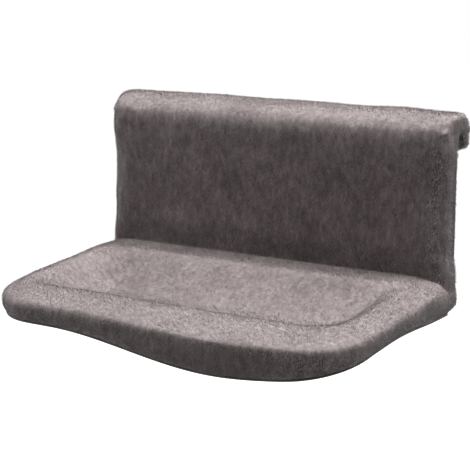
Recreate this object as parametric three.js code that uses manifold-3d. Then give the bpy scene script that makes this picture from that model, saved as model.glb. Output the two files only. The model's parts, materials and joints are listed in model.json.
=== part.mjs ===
// Radiator cat bed: a plush seat and back on a bent steel tube frame, whose two hooks hang over the top
// edge of a radiator. Millimetres, +X to the right, +Y towards the radiator, +Z up. The origin is on the
// flat underside of the hook, midway across the bed, where the bed bears on the radiator.

import * as THREE from 'three';
import { mergeVertices } from 'three/addons/utils/BufferGeometryUtils.js';
import Module from 'manifold-3d';

const wasm = await Module();
wasm.setup();

// Whole bed
const bedWidth = 460;
const backHeight = 200; // where the arm meets the back tube, to the top of the hook's plush
const seatReach = 246; // back tube's centre line to the front tube's centre line
const seatDrop = 16; // the front tube hangs this far below the arm's root
const seamGap = 0.3; // air between pieces that touch

// Steel tube frame; every bend radius is that of the tube's centre line
const tubeDiameter = 12;
const tubeWall = 1.2;
const hookSpan = 36; // between the centre lines of a hook's two legs
const frontHookBend = 16;
const rearHookBend = 12;
const armBend = 24;
const frontCornerBend = 45;
const hookLegDrop = 28.5; // hook's crest centre line to the open end of its rear leg
const armStub = 75; // back tube's centre line to the open end of the side frame's arm
const rearBarDrop = 20; // hook's crest centre line to the bar between the rear legs
const lowerBarSetback = 8; // lower bar's centre line in front of the end of the arm bend
const connectorLength = 44;
const connectorChamfer = 1.2;

// Plush and padding outside the tube
const sidePad = 12;
const backInset = 3; // the back is this much narrower than the seat at each side
const frontPad = 8;
const rearPad = 8;
const crestPad = 6;
const crestLining = 3;
const flapPad = 4;
const flapLining = 1.5;
const hemThickness = 2.7; // the plush that closes the lower edge of the flap
const hemRound = 2.5;
const liningRound = 3; // inside corners of the hook's lining
const frontEdgeRound = 14; // rounding of the back cover's side edges, seen from above
const flapEdgeRound = 10;
const crestEndRound = 12; // rounding of the top's two ends, seen from the front
const seatPlush = 5;
const undersideCloth = 3;
const layerGap = 0.9; // between the seat's padding and the cloth round it

// Seat, with heights from the sloping plane of the seat tube's centre line
const seatCornerPad = 18; // seat tube's centre line to the outline of the seat
const frontSwell = 8; // how far the loaded front bulges forward
const swellCentre = 80; // the load lies this far to the right of the middle
const swellLeftRun = 215;
const swellRightRun = 218;
const swellFade = 80;
const sideRimHeight = 17;
const rearRimHeight = 14;
const frontRimHeight = 15;
const frontRimRun = 100; // over this run the side rim falls to the front rim's height
const rearRimRun = 30;
const sideRimWidth = 27;
const frontRimWidth = 44;
const rearRimWidth = 66;
const basinSlope = 50;
const basinDepth = 40;
const hemDepth = 13;
const frontHemSag = 19;
const rearCornerDrop = 13; // the rim is this much deeper at the two rear corners
const rearCornerRun = 160; // fading over this run forwards
const rearCornerWidth = 30; // and over this width inwards
const sideFlank = 26; // width of the rounded outer edge of the rim
const frontFlank = 24;
const undersideRound = 12;
const undersideStep = 2; // the underside lies this far below the hem
const bellyDepth = 26;
const bellySideStart = 20; // the belly starts this far in from the seat's sides
const bellySideRun = 72;
const bellyFrontRun = 112;
const bellyRearStart = 74; // the belly starts this far in front of the seat's rear edge
const bellyRearRun = 50;
const rearRound = 24; // rounding of the seat's lower rear edge, along Y
const rearLift = 10; // the same rounding, upwards
const bindingDiameter = 3;

// How full the rim's rounded edge is: the share of its rise that is an ellipse, and the share of its
// width that this ellipse takes. The rest is a straight slope. First at the sides, then mid-front.
const sideFullnessShare = 0.8;
const sideRoundShare = 0.45;
const frontFullnessShare = 0.6;
const frontRoundShare = 0.4;

// Fasteners
const barScrewDiameter = 5;
const barScrewLength = 18;
const barScrewHeadDiameter = 9.5;
const barScrewHeadHeight = 2.6;
const connectorScrewDiameter = 3.5;
const connectorScrewLength = 5.5;
const connectorScrewHeadDiameter = 6.5;
const connectorScrewHeadHeight = 2;
const insertLength = 14;
const capFlange = 1.2;
const capPlug = 4.2;

// Zip across the rear of the seat's underside
const zipCornerGap = 15; // from each end of the zip to the dropped rear corner of the seat
const zipTapeWidth = 12;
const zipTapeThickness = 0.8;
const zipChainWidth = 5.2;
const zipChainHeight = 2.2;
const zipRibPitch = 8;
const zipRibGap = 2;
const zipRibDepth = 0.8;
const zipStopLength = 4;
const sliderLength = 11;
const sliderWall = 1.3;
const sliderShoulderShare = 1.3; // of the width of its narrow end
const bridgeLength = 7.5;
const bridgeHeight = 3.4;
const bridgeWidth = 2.6;
const bridgeWall = 1;
const pullLength = 22;
const pullThickness = 1.2;
const pullArm = 1.5;

// Facets
const tubeSides = 10;
const bendSteps = 5; // in a quarter turn
const roundSteps = 5;
const seatColumns = 20;
const seatRows = 18;
const bindingSteps = 56;
const overrun = 2; // how far a cutter runs past what it cuts

// Places that follow from the sizes
const tubeRadius = tubeDiameter / 2;
const boreRadius = tubeRadius - tubeWall;
const sleeveRadius = tubeRadius + seamGap;
const halfWidth = bedWidth / 2;
const backHalfWidth = halfWidth - backInset;
const uprightX = halfWidth - sidePad - tubeRadius;
const uprightY = -hookSpan / 2;
const rearLegY = hookSpan / 2;
const crestZ = crestLining + tubeRadius;
const seatZ = crestZ + tubeRadius + crestPad - backHeight;
const frontY = uprightY - seatReach;
const armEndY = uprightY - armStub;
const rearLegEndZ = crestZ - hookLegDrop;
const crestBarY = (uprightY + frontHookBend + rearLegY - rearHookBend) / 2;
const rearBarZ = crestZ - rearBarDrop;
const lowerBarY = uprightY - armBend - lowerBarSetback;
const barHeadRoom = barScrewHeadHeight + 2 * seamGap;

const panelFrontY = uprightY - tubeRadius - frontPad;
const panelRearY = uprightY + tubeRadius + rearPad;
const flapRearY = rearLegY + tubeRadius + flapPad;
const flapFrontY = rearLegY - tubeRadius - flapLining;
const coverTopZ = crestZ + tubeRadius + crestPad;
const flapCoreEndZ = rearLegEndZ - capFlange - 2 * seamGap;
const flapEndZ = flapCoreEndZ - hemThickness;
const panelEndZ = seatZ + rearRimHeight + seamGap;
const coverEndZ = seatZ - hemDepth; // the back's two lower corners reach down round the rim
const coreHalfWidth = uprightX + tubeRadius + barHeadRoom;

const seatFrontY = frontY - seatCornerPad;
const seatRearY = panelRearY;
const seatCornerRadius = frontCornerBend + seatCornerPad;
const bindingRadius = bindingDiameter / 2;
const hemHalfGap = bindingRadius + seamGap;

const seatTilt = Math.atan2(seatDrop, seatReach);

const zipLength = bedWidth - 2 * (rearCornerWidth + zipCornerGap);

// The zip's heights are from the seat's underside.
const zipTapeZ = -seamGap - zipTapeThickness;
const zipChainTopZ = zipTapeZ - seamGap;
const zipChainEndZ = zipChainTopZ - zipChainHeight;
const sliderHalfWidth = zipChainWidth / 2 + seamGap + sliderWall;
const sliderEndZ = zipChainEndZ - seamGap - sliderWall;
const sliderHomeX = -(zipLength / 2 - zipStopLength - sliderLength / 2 - seamGap);
const pullAxisZ = sliderEndZ - (bridgeHeight - bridgeWall) / 2;

function smooth(value) {
  const t = THREE.MathUtils.clamp(value, 0, 1);
  return t * t * (3 - 2 * t);
}

// Quarter ellipse: rises steeply from 0 and levels out at 1.
function quarterRound(value) {
  const t = THREE.MathUtils.clamp(value, 0, 1);
  return Math.sqrt(1 - (1 - t) ** 2);
}

// Height of the seat tube's centre line: level under the back, then sloping down to the front.
function seatLineZ(y) {
  return seatZ + seatDrop * Math.min(y - uprightY, 0) / seatReach;
}

function solidOf(geometry) {
  const bare = geometry.index ? geometry.clone() : geometry;
  bare.deleteAttribute('normal');
  bare.deleteAttribute('uv');
  const welded = mergeVertices(bare);
  const mesh = new wasm.Mesh({
    numProp: 3,
    vertProperties: new Float32Array(welded.attributes.position.array),
    triVerts: new Uint32Array(welded.index.array),
  });
  return new wasm.Manifold(mesh);
}

function geometryOf(solid) {
  const mesh = solid.getMesh();
  const geometry = new THREE.BufferGeometry();
  geometry.setAttribute('position', new THREE.BufferAttribute(new Float32Array(mesh.vertProperties), 3));
  geometry.setIndex(new THREE.BufferAttribute(new Uint32Array(mesh.triVerts), 1));
  geometry.computeVertexNormals();
  return geometry;
}

function cut(geometry, cutters) {
  return geometryOf(cutters.reduce((left, cutter) => left.subtract(solidOf(cutter)), solidOf(geometry)));
}

function keepWithin(geometry, limits) {
  return geometryOf(limits.reduce((left, limit) => left.intersect(solidOf(limit)), solidOf(geometry)));
}

function join(geometry, additions) {
  return geometryOf(additions.reduce((whole, added) => whole.add(solidOf(added)), solidOf(geometry)));
}

function at(geometry, x, y, z) {
  return geometry.translate(x, y, z);
}

function box(sizeX, sizeY, sizeZ) {
  return new THREE.BoxGeometry(sizeX, sizeY, sizeZ);
}

// A round bar along X.
function crossRod(radius, length) {
  return new THREE.CylinderGeometry(radius, radius, length, tubeSides).rotateZ(Math.PI / 2);
}

// A pipe's centre line: straight runs joined by circular bends. The sweep takes one step along each
// straight run and several round each bend, so its rings stand where the pipe turns.
class PipeLine extends THREE.Curve {
  constructor(corners, bendRadii) {
    super();
    this.points = [];
    this.tangents = [];
    const directions = corners.slice(1).map((corner, i) => corner.clone().sub(corners[i]).normalize());
    this.addStation(corners[0], directions[0]);
    bendRadii.forEach((radius, i) => this.addBend(corners[i + 1], directions[i], directions[i + 1], radius));
    this.addStation(corners[corners.length - 1], directions[directions.length - 1]);
    this.steps = this.points.length - 1;
  }

  addStation(point, tangent) {
    const last = this.points[this.points.length - 1];
    if (last && last.distanceTo(point) < seamGap) return;
    this.points.push(point.clone());
    this.tangents.push(tangent.clone());
  }

  addBend(corner, before, after, radius) {
    const turn = before.angleTo(after);
    const inward = after.clone().addScaledVector(before, -before.dot(after)).normalize();
    const start = corner.clone().addScaledVector(before, -radius * Math.tan(turn / 2));
    const centre = start.clone().addScaledVector(inward, radius);
    const steps = Math.ceil(bendSteps * turn / (Math.PI / 2));
    for (let step = 0; step <= steps; step += 1) {
      const angle = turn * step / steps;
      const arm = inward.clone().multiplyScalar(-Math.cos(angle)).addScaledVector(before, Math.sin(angle));
      const tangent = before.clone().multiplyScalar(Math.cos(angle)).addScaledVector(inward, Math.sin(angle));
      this.addStation(centre.clone().addScaledVector(arm, radius), tangent);
    }
  }

  getPoint(t, target = new THREE.Vector3()) {
    return target.copy(this.points[Math.round(t * this.steps)]);
  }

  getPointAt(u, target) {
    return this.getPoint(u, target);
  }

  getTangentAt(u, target = new THREE.Vector3()) {
    return target.copy(this.tangents[Math.round(u * this.steps)]);
  }
}

function circle(radius, bore = 0) {
  const shape = new THREE.Shape().absarc(0, 0, radius, 0, 2 * Math.PI);
  if (bore) shape.holes.push(new THREE.Path().absarc(0, 0, bore, 0, 2 * Math.PI, true));
  return shape;
}

function sweep(line, radius, bore = 0) {
  return new THREE.ExtrudeGeometry(circle(radius, bore), {
    steps: line.steps,
    curveSegments: tubeSides / 2,
    bevelEnabled: false,
    extrudePath: line,
  });
}

function sideLine(side, armEnd = armEndY) {
  const corners = [
    [rearLegY, rearLegEndZ],
    [rearLegY, crestZ],
    [uprightY, crestZ],
    [uprightY, seatZ],
    [armEnd, seatLineZ(armEnd)],
  ];
  return new PipeLine(
    corners.map(([y, z]) => new THREE.Vector3(side * uprightX, y, z)),
    [rearHookBend, frontHookBend, armBend],
  );
}

function bowLine(armStart = armEndY - seamGap) {
  const corners = [[-uprightX, armStart], [-uprightX, frontY], [uprightX, frontY], [uprightX, armStart]];
  return new PipeLine(
    corners.map(([x, y]) => new THREE.Vector3(x, y, seatLineZ(y))),
    [frontCornerBend, frontCornerBend],
  );
}

const barPlaces = [
  { name: 'top_bar', y: crestBarY, z: crestZ },
  { name: 'rear_hook_bar', y: rearLegY, z: rearBarZ },
  { name: 'lower_back_bar', y: lowerBarY, z: seatLineZ(lowerBarY) },
];

const sides = [
  { side: -1, sideName: 'left' },
  { side: 1, sideName: 'right' },
];

const barEnds = barPlaces.flatMap((bar) => sides.map((side) => ({ ...bar, ...side })));

// Offsets along the arm from where the side frame and the front bow meet.
const connectorScrewPlaces = sides.flatMap(({ side, sideName }) => [
  { name: `connector_screw_${sideName}_front`, side, offset: -connectorLength / 4 },
  { name: `connector_screw_${sideName}_rear`, side, offset: connectorLength / 4 },
]);

// Lays a piece made round the origin, and along Y, on the sloping arm of one side.
function onArm(geometry, side) {
  return at(geometry.rotateX(seatTilt), side * uprightX, armEndY, seatLineZ(armEndY));
}

// An upright peg through the lower half of the arm, its top on the centre line.
function armPeg(radius, depth, { side, offset }) {
  const peg = new THREE.CylinderGeometry(radius, radius, depth, tubeSides).rotateX(Math.PI / 2);
  return onArm(at(peg, 0, offset, -depth / 2), side);
}

// Holes for the bar screws and, from below, for the connector screws.
function frameHoles() {
  const barHole = barScrewDiameter / 2 + seamGap;
  const connectorHole = connectorScrewDiameter / 2 + seamGap;
  const reach = bedWidth + overrun;
  return [
    ...barPlaces.map(({ y, z }) => at(crossRod(barHole, reach), 0, y, z)),
    ...connectorScrewPlaces.map((place) => armPeg(connectorHole, tubeRadius + overrun, place)),
  ];
}

function sideFrame(side) {
  return cut(sweep(sideLine(side), tubeRadius, boreRadius), frameHoles());
}

function frontBow() {
  return cut(sweep(bowLine(), tubeRadius, boreRadius), frameHoles());
}

// A straight bar whose ends are coped round the side tubes that it is screwed to.
function crossBar({ y, z }) {
  const length = 2 * uprightX;
  const stock = new THREE.ExtrudeGeometry(circle(tubeRadius, boreRadius), {
    depth: length,
    curveSegments: tubeSides / 2,
    bevelEnabled: false,
  });
  const bar = at(stock.rotateY(Math.PI / 2), -length / 2, y, z);
  return cut(bar, [-1, 1].map((side) => sweep(sideLine(side), sleeveRadius)));
}

function ringProfile(outer, inner, length, chamfer) {
  return [
    [inner, 0],
    [outer - chamfer, 0],
    [outer, chamfer],
    [outer, length - chamfer],
    [outer - chamfer, length],
    [inner, length],
    [inner, 0],
  ].map(([radius, height]) => new THREE.Vector2(radius, height));
}

function barInsert({ side, y, z }) {
  const outer = boreRadius - seamGap;
  const inner = barScrewDiameter / 2 + seamGap;
  const insert = new THREE.LatheGeometry(ringProfile(outer, inner, insertLength, seamGap), tubeSides);
  return at(insert.rotateZ(side * Math.PI / 2), side * (uprightX - sleeveRadius - seamGap), y, z);
}

// A screw with a domed head: the underside of the head is at 0 and the shank runs down the Y axis.
function domedScrew(diameter, length, headDiameter, headHeight) {
  const radius = diameter / 2;
  const headRadius = headDiameter / 2;
  const dome = Array.from({ length: roundSteps }, (_, i) => {
    const angle = (i / roundSteps) * (Math.PI / 2);
    return [headRadius * Math.cos(angle), headHeight * Math.sin(angle)];
  });
  const profile = [[0, -length], [radius, -length], [radius, 0], ...dome, [0, headHeight]];
  return new THREE.LatheGeometry(profile.map(([r, h]) => new THREE.Vector2(r, h)), tubeSides);
}

function barScrew({ side, y, z }) {
  const screw = domedScrew(barScrewDiameter, barScrewLength, barScrewHeadDiameter, barScrewHeadHeight);
  return at(screw.rotateZ(-side * Math.PI / 2), side * (uprightX + sleeveRadius), y, z);
}

function connectorScrew({ side, offset }) {
  const screw = domedScrew(
    connectorScrewDiameter,
    connectorScrewLength,
    connectorScrewHeadDiameter,
    connectorScrewHeadHeight,
  );
  return onArm(at(screw.rotateX(-Math.PI / 2), 0, offset, -sleeveRadius), side);
}

// The sleeve inside both tubes where the front bow meets a side frame.
function bowConnector(side) {
  const outer = boreRadius - seamGap;
  const profile = [
    [0, 0],
    [outer - connectorChamfer, 0],
    [outer, connectorChamfer],
    [outer, connectorLength - connectorChamfer],
    [outer - connectorChamfer, connectorLength],
    [0, connectorLength],
  ].map(([radius, height]) => new THREE.Vector2(radius, height));
  const rod = new THREE.LatheGeometry(profile, tubeSides);
  return cut(onArm(at(rod, 0, -connectorLength / 2, 0), side), frameHoles());
}

function hookEndCap(side) {
  const plug = boreRadius - seamGap;
  const profile = [
    [0, -capFlange],
    [tubeRadius - capFlange / 2, -capFlange],
    [tubeRadius, -capFlange / 2],
    [tubeRadius, 0],
    [plug, 0],
    [plug, capPlug],
    [0, capPlug],
  ].map(([radius, height]) => new THREE.Vector2(radius, height));
  const cap = new THREE.LatheGeometry(profile, tubeSides).rotateX(Math.PI / 2);
  return at(cap, side * uprightX, rearLegY, rearLegEndZ - seamGap);
}

// The back cover's section, seen from the side with y to the right and z up: up the front of the back,
// over the hook, down the flap, and back up inside the hook and down the side that faces the radiator.
function coverSection() {
  const frontRound = frontHookBend + tubeRadius + crestPad;
  const rearRoundOver = rearHookBend + tubeRadius + flapPad;
  const section = new THREE.Shape();
  section.moveTo(panelFrontY, coverEndZ);
  section.lineTo(panelFrontY, coverTopZ - frontRound);
  section.absarc(panelFrontY + frontRound, coverTopZ - frontRound, frontRound, Math.PI, Math.PI / 2, true);
  section.absarc(flapRearY - rearRoundOver, coverTopZ - rearRoundOver, rearRoundOver, Math.PI / 2, 0, true);
  section.absarc(flapRearY - hemRound, flapEndZ + hemRound, hemRound, 0, -Math.PI / 2, true);
  section.absarc(flapFrontY + hemRound, flapEndZ + hemRound, hemRound, -Math.PI / 2, -Math.PI, true);
  section.absarc(flapFrontY - liningRound, -liningRound, liningRound, 0, Math.PI / 2, false);
  section.absarc(panelRearY + liningRound, -liningRound, liningRound, Math.PI / 2, Math.PI, false);
  section.lineTo(panelRearY, coverEndZ);
  section.closePath();
  return section;
}

// The outer edge of the space for the frame and padding, from the foot of the back to the flap's end.
function addCoreOuterEdge(shape, margin, startZ, endZ) {
  shape.moveTo(uprightY - margin, startZ);
  shape.lineTo(uprightY - margin, crestZ - frontHookBend);
  shape.absarc(uprightY + frontHookBend, crestZ - frontHookBend, frontHookBend + margin, Math.PI, Math.PI / 2, true);
  shape.absarc(rearLegY - rearHookBend, crestZ - rearHookBend, rearHookBend + margin, Math.PI / 2, 0, true);
  shape.lineTo(rearLegY + margin, endZ);
}

function extrude(shape, depth) {
  return new THREE.ExtrudeGeometry(shape, { depth, curveSegments: roundSteps, bevelEnabled: false });
}

// Extrudes a section drawn in y and z along X, centred on the bed.
function extrudeAcross(section, width) {
  const turn = new THREE.Matrix4().set(0, 0, 1, -width / 2, 1, 0, 0, 0, 0, 1, 0, 0, 0, 0, 0, 1);
  return extrude(section, width).applyMatrix4(turn);
}

// An upright strip, as wide as the back and rounded at its four corners, drawn from low to high.
function roundedOutline(low, high, lowRound, highRound) {
  const outline = new THREE.Shape();
  outline.absarc(-backHalfWidth + lowRound, low + lowRound, lowRound, Math.PI, 3 * Math.PI / 2, false);
  outline.absarc(backHalfWidth - lowRound, low + lowRound, lowRound, -Math.PI / 2, 0, false);
  outline.absarc(backHalfWidth - highRound, high - highRound, highRound, 0, Math.PI / 2, false);
  outline.absarc(-backHalfWidth + highRound, high - highRound, highRound, Math.PI / 2, Math.PI, false);
  outline.closePath();
  return outline;
}

// The plush: the whole section with rounded sides, hollowed from behind for the frame and the lining.
function backCover() {
  const height = coverTopZ - coverEndZ + overrun;
  const fromAbove = roundedOutline(panelFrontY, flapRearY, frontEdgeRound, flapEdgeRound);
  const fromFront = roundedOutline(coverEndZ - crestEndRound, coverTopZ, seamGap, crestEndRound);
  const depth = flapRearY - panelFrontY + overrun;
  const body = keepWithin(extrudeAcross(coverSection(), bedWidth + overrun), [
    at(extrude(fromAbove, height), 0, 0, coverEndZ),
    at(extrude(fromFront, depth).rotateX(Math.PI / 2), 0, panelFrontY + depth, 0),
  ]);
  const hollow = new THREE.Shape();
  addCoreOuterEdge(hollow, sleeveRadius, panelEndZ - overrun, flapCoreEndZ);
  hollow.lineTo(flapFrontY - liningRound, flapCoreEndZ);
  hollow.lineTo(flapFrontY - liningRound, -overrun);
  hollow.lineTo(panelRearY + overrun, -overrun);
  hollow.lineTo(panelRearY + overrun, panelEndZ - overrun);
  hollow.closePath();
  const bends = sides.map(({ side }) => sweep(sideLine(side), sleeveRadius));
  return cut(body, [extrudeAcross(hollow, 2 * coreHalfWidth), ...bends, seatRoom()]);
}

// The lining: the inner layer, which bears on the radiator inside the hook and down the back.
function backLining() {
  const inner = sleeveRadius;
  const shape = new THREE.Shape();
  shape.moveTo(panelRearY, panelEndZ);
  shape.lineTo(uprightY + inner, panelEndZ);
  shape.lineTo(uprightY + inner, crestZ - frontHookBend);
  shape.absarc(uprightY + frontHookBend, crestZ - frontHookBend, frontHookBend - inner, Math.PI, Math.PI / 2, true);
  shape.absarc(rearLegY - rearHookBend, crestZ - rearHookBend, rearHookBend - inner, Math.PI / 2, 0, true);
  shape.lineTo(rearLegY - inner, flapCoreEndZ + seamGap);
  shape.lineTo(flapFrontY, flapCoreEndZ + seamGap);
  shape.absarc(flapFrontY - liningRound, -liningRound, liningRound, 0, Math.PI / 2, false);
  shape.absarc(panelRearY + liningRound, -liningRound, liningRound, Math.PI / 2, Math.PI, false);
  shape.closePath();
  return extrudeAcross(shape, 2 * (coreHalfWidth - seamGap));
}

// Wadding between the two side frames, from the foot of the back up to the top bar.
function backPadding() {
  const shape = new THREE.Shape();
  shape.moveTo(uprightY + tubeRadius, panelEndZ);
  shape.lineTo(uprightY - tubeRadius, panelEndZ);
  shape.lineTo(uprightY - tubeRadius, crestZ - frontHookBend);
  shape.absarc(
    uprightY + frontHookBend,
    crestZ - frontHookBend,
    frontHookBend + tubeRadius,
    Math.PI,
    Math.PI / 2,
    true,
  );
  shape.lineTo(crestBarY, crestZ + tubeRadius);
  shape.lineTo(crestBarY, crestZ - tubeRadius);
  shape.absarc(
    uprightY + frontHookBend,
    crestZ - frontHookBend,
    frontHookBend - tubeRadius,
    Math.PI / 2,
    Math.PI,
    false,
  );
  shape.closePath();
  const width = 2 * (uprightX - sleeveRadius);
  const barRoom = at(crossRod(sleeveRadius, bedWidth), 0, crestBarY, crestZ);
  return cut(extrudeAcross(shape, width), [barRoom]);
}

// 1 where the load lies, falling to 0 towards the two front corners.
function swell(x) {
  const offset = x - swellCentre;
  const run = offset < 0 ? swellLeftRun : swellRightRun;
  return 1 - smooth(Math.abs(offset) / run);
}

// 1 at the front edge of the seat, falling to 0 further back.
function frontness(fromFront, run) {
  return 1 - smooth(fromFront / run);
}

// Where a point of the seat's grid lies: across and along run over the unit square, and the inset
// draws the outline in for the layers under the plush.
function seatPlace(across, along, inset) {
  const side = halfWidth - inset;
  const front = seatFrontY + inset;
  const radius = Math.max(seatCornerRadius - inset, seamGap);
  const fromFront = (seatRearY - front) * (1 - Math.cos(Math.PI * along)) / 2;
  const intoCorner = Math.max(radius - fromFront, 0);
  const reach = side - radius + Math.sqrt(radius ** 2 - intoCorner ** 2);
  const x = reach * Math.sin(Math.PI * (across - 1 / 2));
  const pastSide = Math.abs(x) - (side - radius);
  const inCorner = pastSide > 0 && intoCorner > 0;
  const edge = inCorner ? radius - Math.hypot(pastSide, intoCorner) : Math.min(side - Math.abs(x), fromFront);
  return { x, level: front + fromFront, edge: Math.max(edge, 0), inset };
}

function swollenY({ x, level }) {
  return level - frontSwell * swell(x) * frontness(level - seatFrontY, swellFade);
}

function frontSag({ x, level }) {
  return frontHemSag * swell(x) * frontness(level - seatFrontY, swellFade);
}

// The seam where the plush meets the underside: it sags in front, and rises round the rear edge.
function hemHeight(place) {
  const fromRear = seatRearY - place.level;
  const lift = rearLift * (1 - quarterRound(fromRear / rearRound));
  const fromSide = halfWidth - Math.abs(place.x);
  const corner = (1 - smooth(fromRear / rearCornerRun)) * (1 - smooth(fromSide / rearCornerWidth));
  return lift - hemDepth - frontSag(place) - rearCornerDrop * corner;
}

function rimHeight({ level }) {
  const behindFront = smooth((level - frontY) / frontRimRun);
  const nearBack = smooth((level - (seatRearY - rearRimWidth)) / rearRimRun);
  const rise = (sideRimHeight - frontRimHeight) * behindFront;
  return frontRimHeight + rise + (rearRimHeight - sideRimHeight) * nearBack;
}

function basinFall({ x, level }) {
  const fromSide = smooth((halfWidth - Math.abs(x) - sideRimWidth) / basinSlope);
  const fromFront = smooth((level - seatFrontY - frontRimWidth) / basinSlope);
  const fromRear = smooth((seatRearY - level - rearRimWidth) / basinSlope);
  return basinDepth * fromSide * fromFront * fromRear;
}

function upperHeight(place) {
  const blend = swell(place.x) * frontness(place.level - seatFrontY, swellFade);
  const fullness = THREE.MathUtils.lerp(sideFullnessShare, frontFullnessShare, blend);
  const round = THREE.MathUtils.lerp(sideRoundShare, frontRoundShare, blend);
  const flank = Math.max(THREE.MathUtils.lerp(sideFlank, frontFlank, blend) - place.inset, seamGap);
  const across = THREE.MathUtils.clamp(place.edge / flank, 0, 1);
  const rise = fullness * quarterRound(across / round) + (1 - fullness) * across;
  const hem = hemHeight(place) + hemHalfGap;
  return hem + (rimHeight(place) - place.inset - hem) * rise - basinFall(place);
}

function lowerHeight(place) {
  const fromEdge = place.edge + place.inset;
  const belly = smooth((halfWidth - Math.abs(place.x) - bellySideStart) / bellySideRun)
    * smooth((place.level - seatFrontY) / bellyFrontRun)
    * smooth((seatRearY - place.level - bellyRearStart) / bellyRearRun);
  const step = (undersideStep - hemHalfGap) * quarterRound(fromEdge / undersideRound);
  return hemHeight(place) - hemHalfGap - step - Math.max(bellyDepth - frontSag(place), 0) * belly;
}

function upperFace(inset) {
  return (across, along) => {
    const place = seatPlace(across, along, inset);
    const y = swollenY(place);
    return new THREE.Vector3(place.x, y, seatLineZ(y) + upperHeight(place));
  };
}

// A face at a height above the underside. It rises to that height past the binding in the seam.
function lowerFace(height, inset) {
  return (across, along) => {
    const place = seatPlace(across, along, inset);
    const ramp = quarterRound((place.edge + inset - bindingDiameter) / undersideCloth);
    const y = swollenY(place);
    return new THREE.Vector3(place.x, y, seatLineZ(y) + lowerHeight(place) + height * ramp);
  };
}

// A layer of the seat: a unit block whose top and bottom are laid on two faces. The diagonals of a block's
// top run the other way from those of its bottom, so the middle layer's block is turned, which lays each
// pair of facing diagonals the same way.
function seatLayer(top, bottom, turned = false) {
  const block = turned
    ? new THREE.BoxGeometry(1, 1, 1, seatRows, seatColumns, 1).rotateZ(Math.PI / 2)
    : new THREE.BoxGeometry(1, 1, 1, seatColumns, seatRows, 1);
  const position = block.attributes.position;
  for (let i = 0; i < position.count; i += 1) {
    const face = position.getZ(i) > 0 ? top : bottom;
    const point = face(position.getX(i) + 1 / 2, position.getY(i) + 1 / 2);
    position.setXYZ(i, point.x, point.y, point.z);
  }
  return block;
}

// Room for the frame, its screw heads and the lower bar inside the seat.
function frameRoom() {
  const screwHead = barScrewHeadDiameter / 2 + seamGap;
  const connectorHead = connectorScrewHeadDiameter / 2 + seamGap;
  const headDepth = connectorScrewHeadHeight + seamGap;
  return [
    ...[-1, 1].map((side) => sweep(sideLine(side, armEndY - overrun), sleeveRadius)),
    sweep(bowLine(armEndY + overrun), sleeveRadius),
    at(crossRod(sleeveRadius, 2 * uprightX), 0, lowerBarY, seatLineZ(lowerBarY)),
    at(crossRod(screwHead, 2 * coreHalfWidth), 0, lowerBarY, seatLineZ(lowerBarY)),
    ...connectorScrewPlaces.map((place) => armPeg(connectorHead, sleeveRadius + headDepth, place)),
  ];
}

// The space that the seat takes under the back, with a gap above its plush.
function seatRoom() {
  const plushFace = upperFace(0);
  const raised = (across, along) => plushFace(across, along).setZ(plushFace(across, along).z + seamGap);
  const deep = (across, along) => plushFace(across, along).setZ(coverEndZ - hemDepth);
  return seatLayer(raised, deep);
}

function seatCover() {
  return cut(seatLayer(upperFace(0), upperFace(seatPlush)), frameRoom());
}

function seatPadding() {
  const inset = seatPlush + layerGap;
  const layer = seatLayer(upperFace(inset), lowerFace(undersideCloth + layerGap, inset), true);
  return cut(layer, frameRoom());
}

function seatUnderside() {
  return seatLayer(lowerFace(undersideCloth, bindingDiameter), lowerFace(0, 0));
}

// The binding sewn into the seam round the two sides and the front.
function hemBinding() {
  const side = halfWidth - bindingRadius;
  const front = seatFrontY + bindingRadius;
  const radius = seatCornerRadius - bindingRadius;
  const end = seatRearY - rearRound;
  const outline = new THREE.Path();
  outline.moveTo(-side, end);
  outline.lineTo(-side, front + radius);
  outline.absarc(-side + radius, front + radius, radius, Math.PI, 3 * Math.PI / 2, false);
  outline.absarc(side - radius, front + radius, radius, -Math.PI / 2, 0, false);
  outline.lineTo(side, end);
  const points = outline.getSpacedPoints(bindingSteps).map((point) => {
    const place = { x: point.x, level: point.y };
    const y = swollenY(place);
    return new THREE.Vector3(point.x, y, seatLineZ(y) + hemHeight(place));
  });
  return new THREE.ExtrudeGeometry(circle(bindingRadius), {
    steps: bindingSteps,
    curveSegments: 3,
    bevelEnabled: false,
    extrudePath: new THREE.CatmullRomCurve3(points),
  });
}

function zipTape(side) {
  const offset = zipChainWidth / 2 + sliderWall + 2 * seamGap;
  const tape = box(zipLength, zipTapeWidth, zipTapeThickness);
  return at(tape, 0, side * (offset + zipTapeWidth / 2), zipTapeZ + zipTapeThickness / 2);
}

// The closed chain of the zip, ribbed across by its coils.
function zipTeeth() {
  const length = zipLength - 2 * (zipStopLength + seamGap);
  const ribs = Math.floor(length / zipRibPitch);
  const pitch = length / ribs;
  const outline = new THREE.Shape();
  outline.moveTo(-length / 2, zipChainTopZ);
  for (let rib = 0; rib < ribs; rib += 1) {
    const start = -length / 2 + rib * pitch;
    outline.lineTo(start, zipChainEndZ + zipRibDepth);
    outline.lineTo(start + zipRibGap / 2, zipChainEndZ);
    outline.lineTo(start + pitch - zipRibGap / 2, zipChainEndZ);
  }
  outline.lineTo(length / 2, zipChainEndZ + zipRibDepth);
  outline.lineTo(length / 2, zipChainTopZ);
  outline.closePath();
  const chain = new THREE.ExtrudeGeometry(outline, { depth: zipChainWidth, bevelEnabled: false });
  return at(chain.rotateX(Math.PI / 2), 0, zipChainWidth / 2, 0);
}

function zipStop(side) {
  const stop = box(zipStopLength, zipChainWidth, zipChainHeight);
  return at(stop, side * (zipLength - zipStopLength) / 2, 0, zipChainTopZ - zipChainHeight / 2);
}

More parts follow.
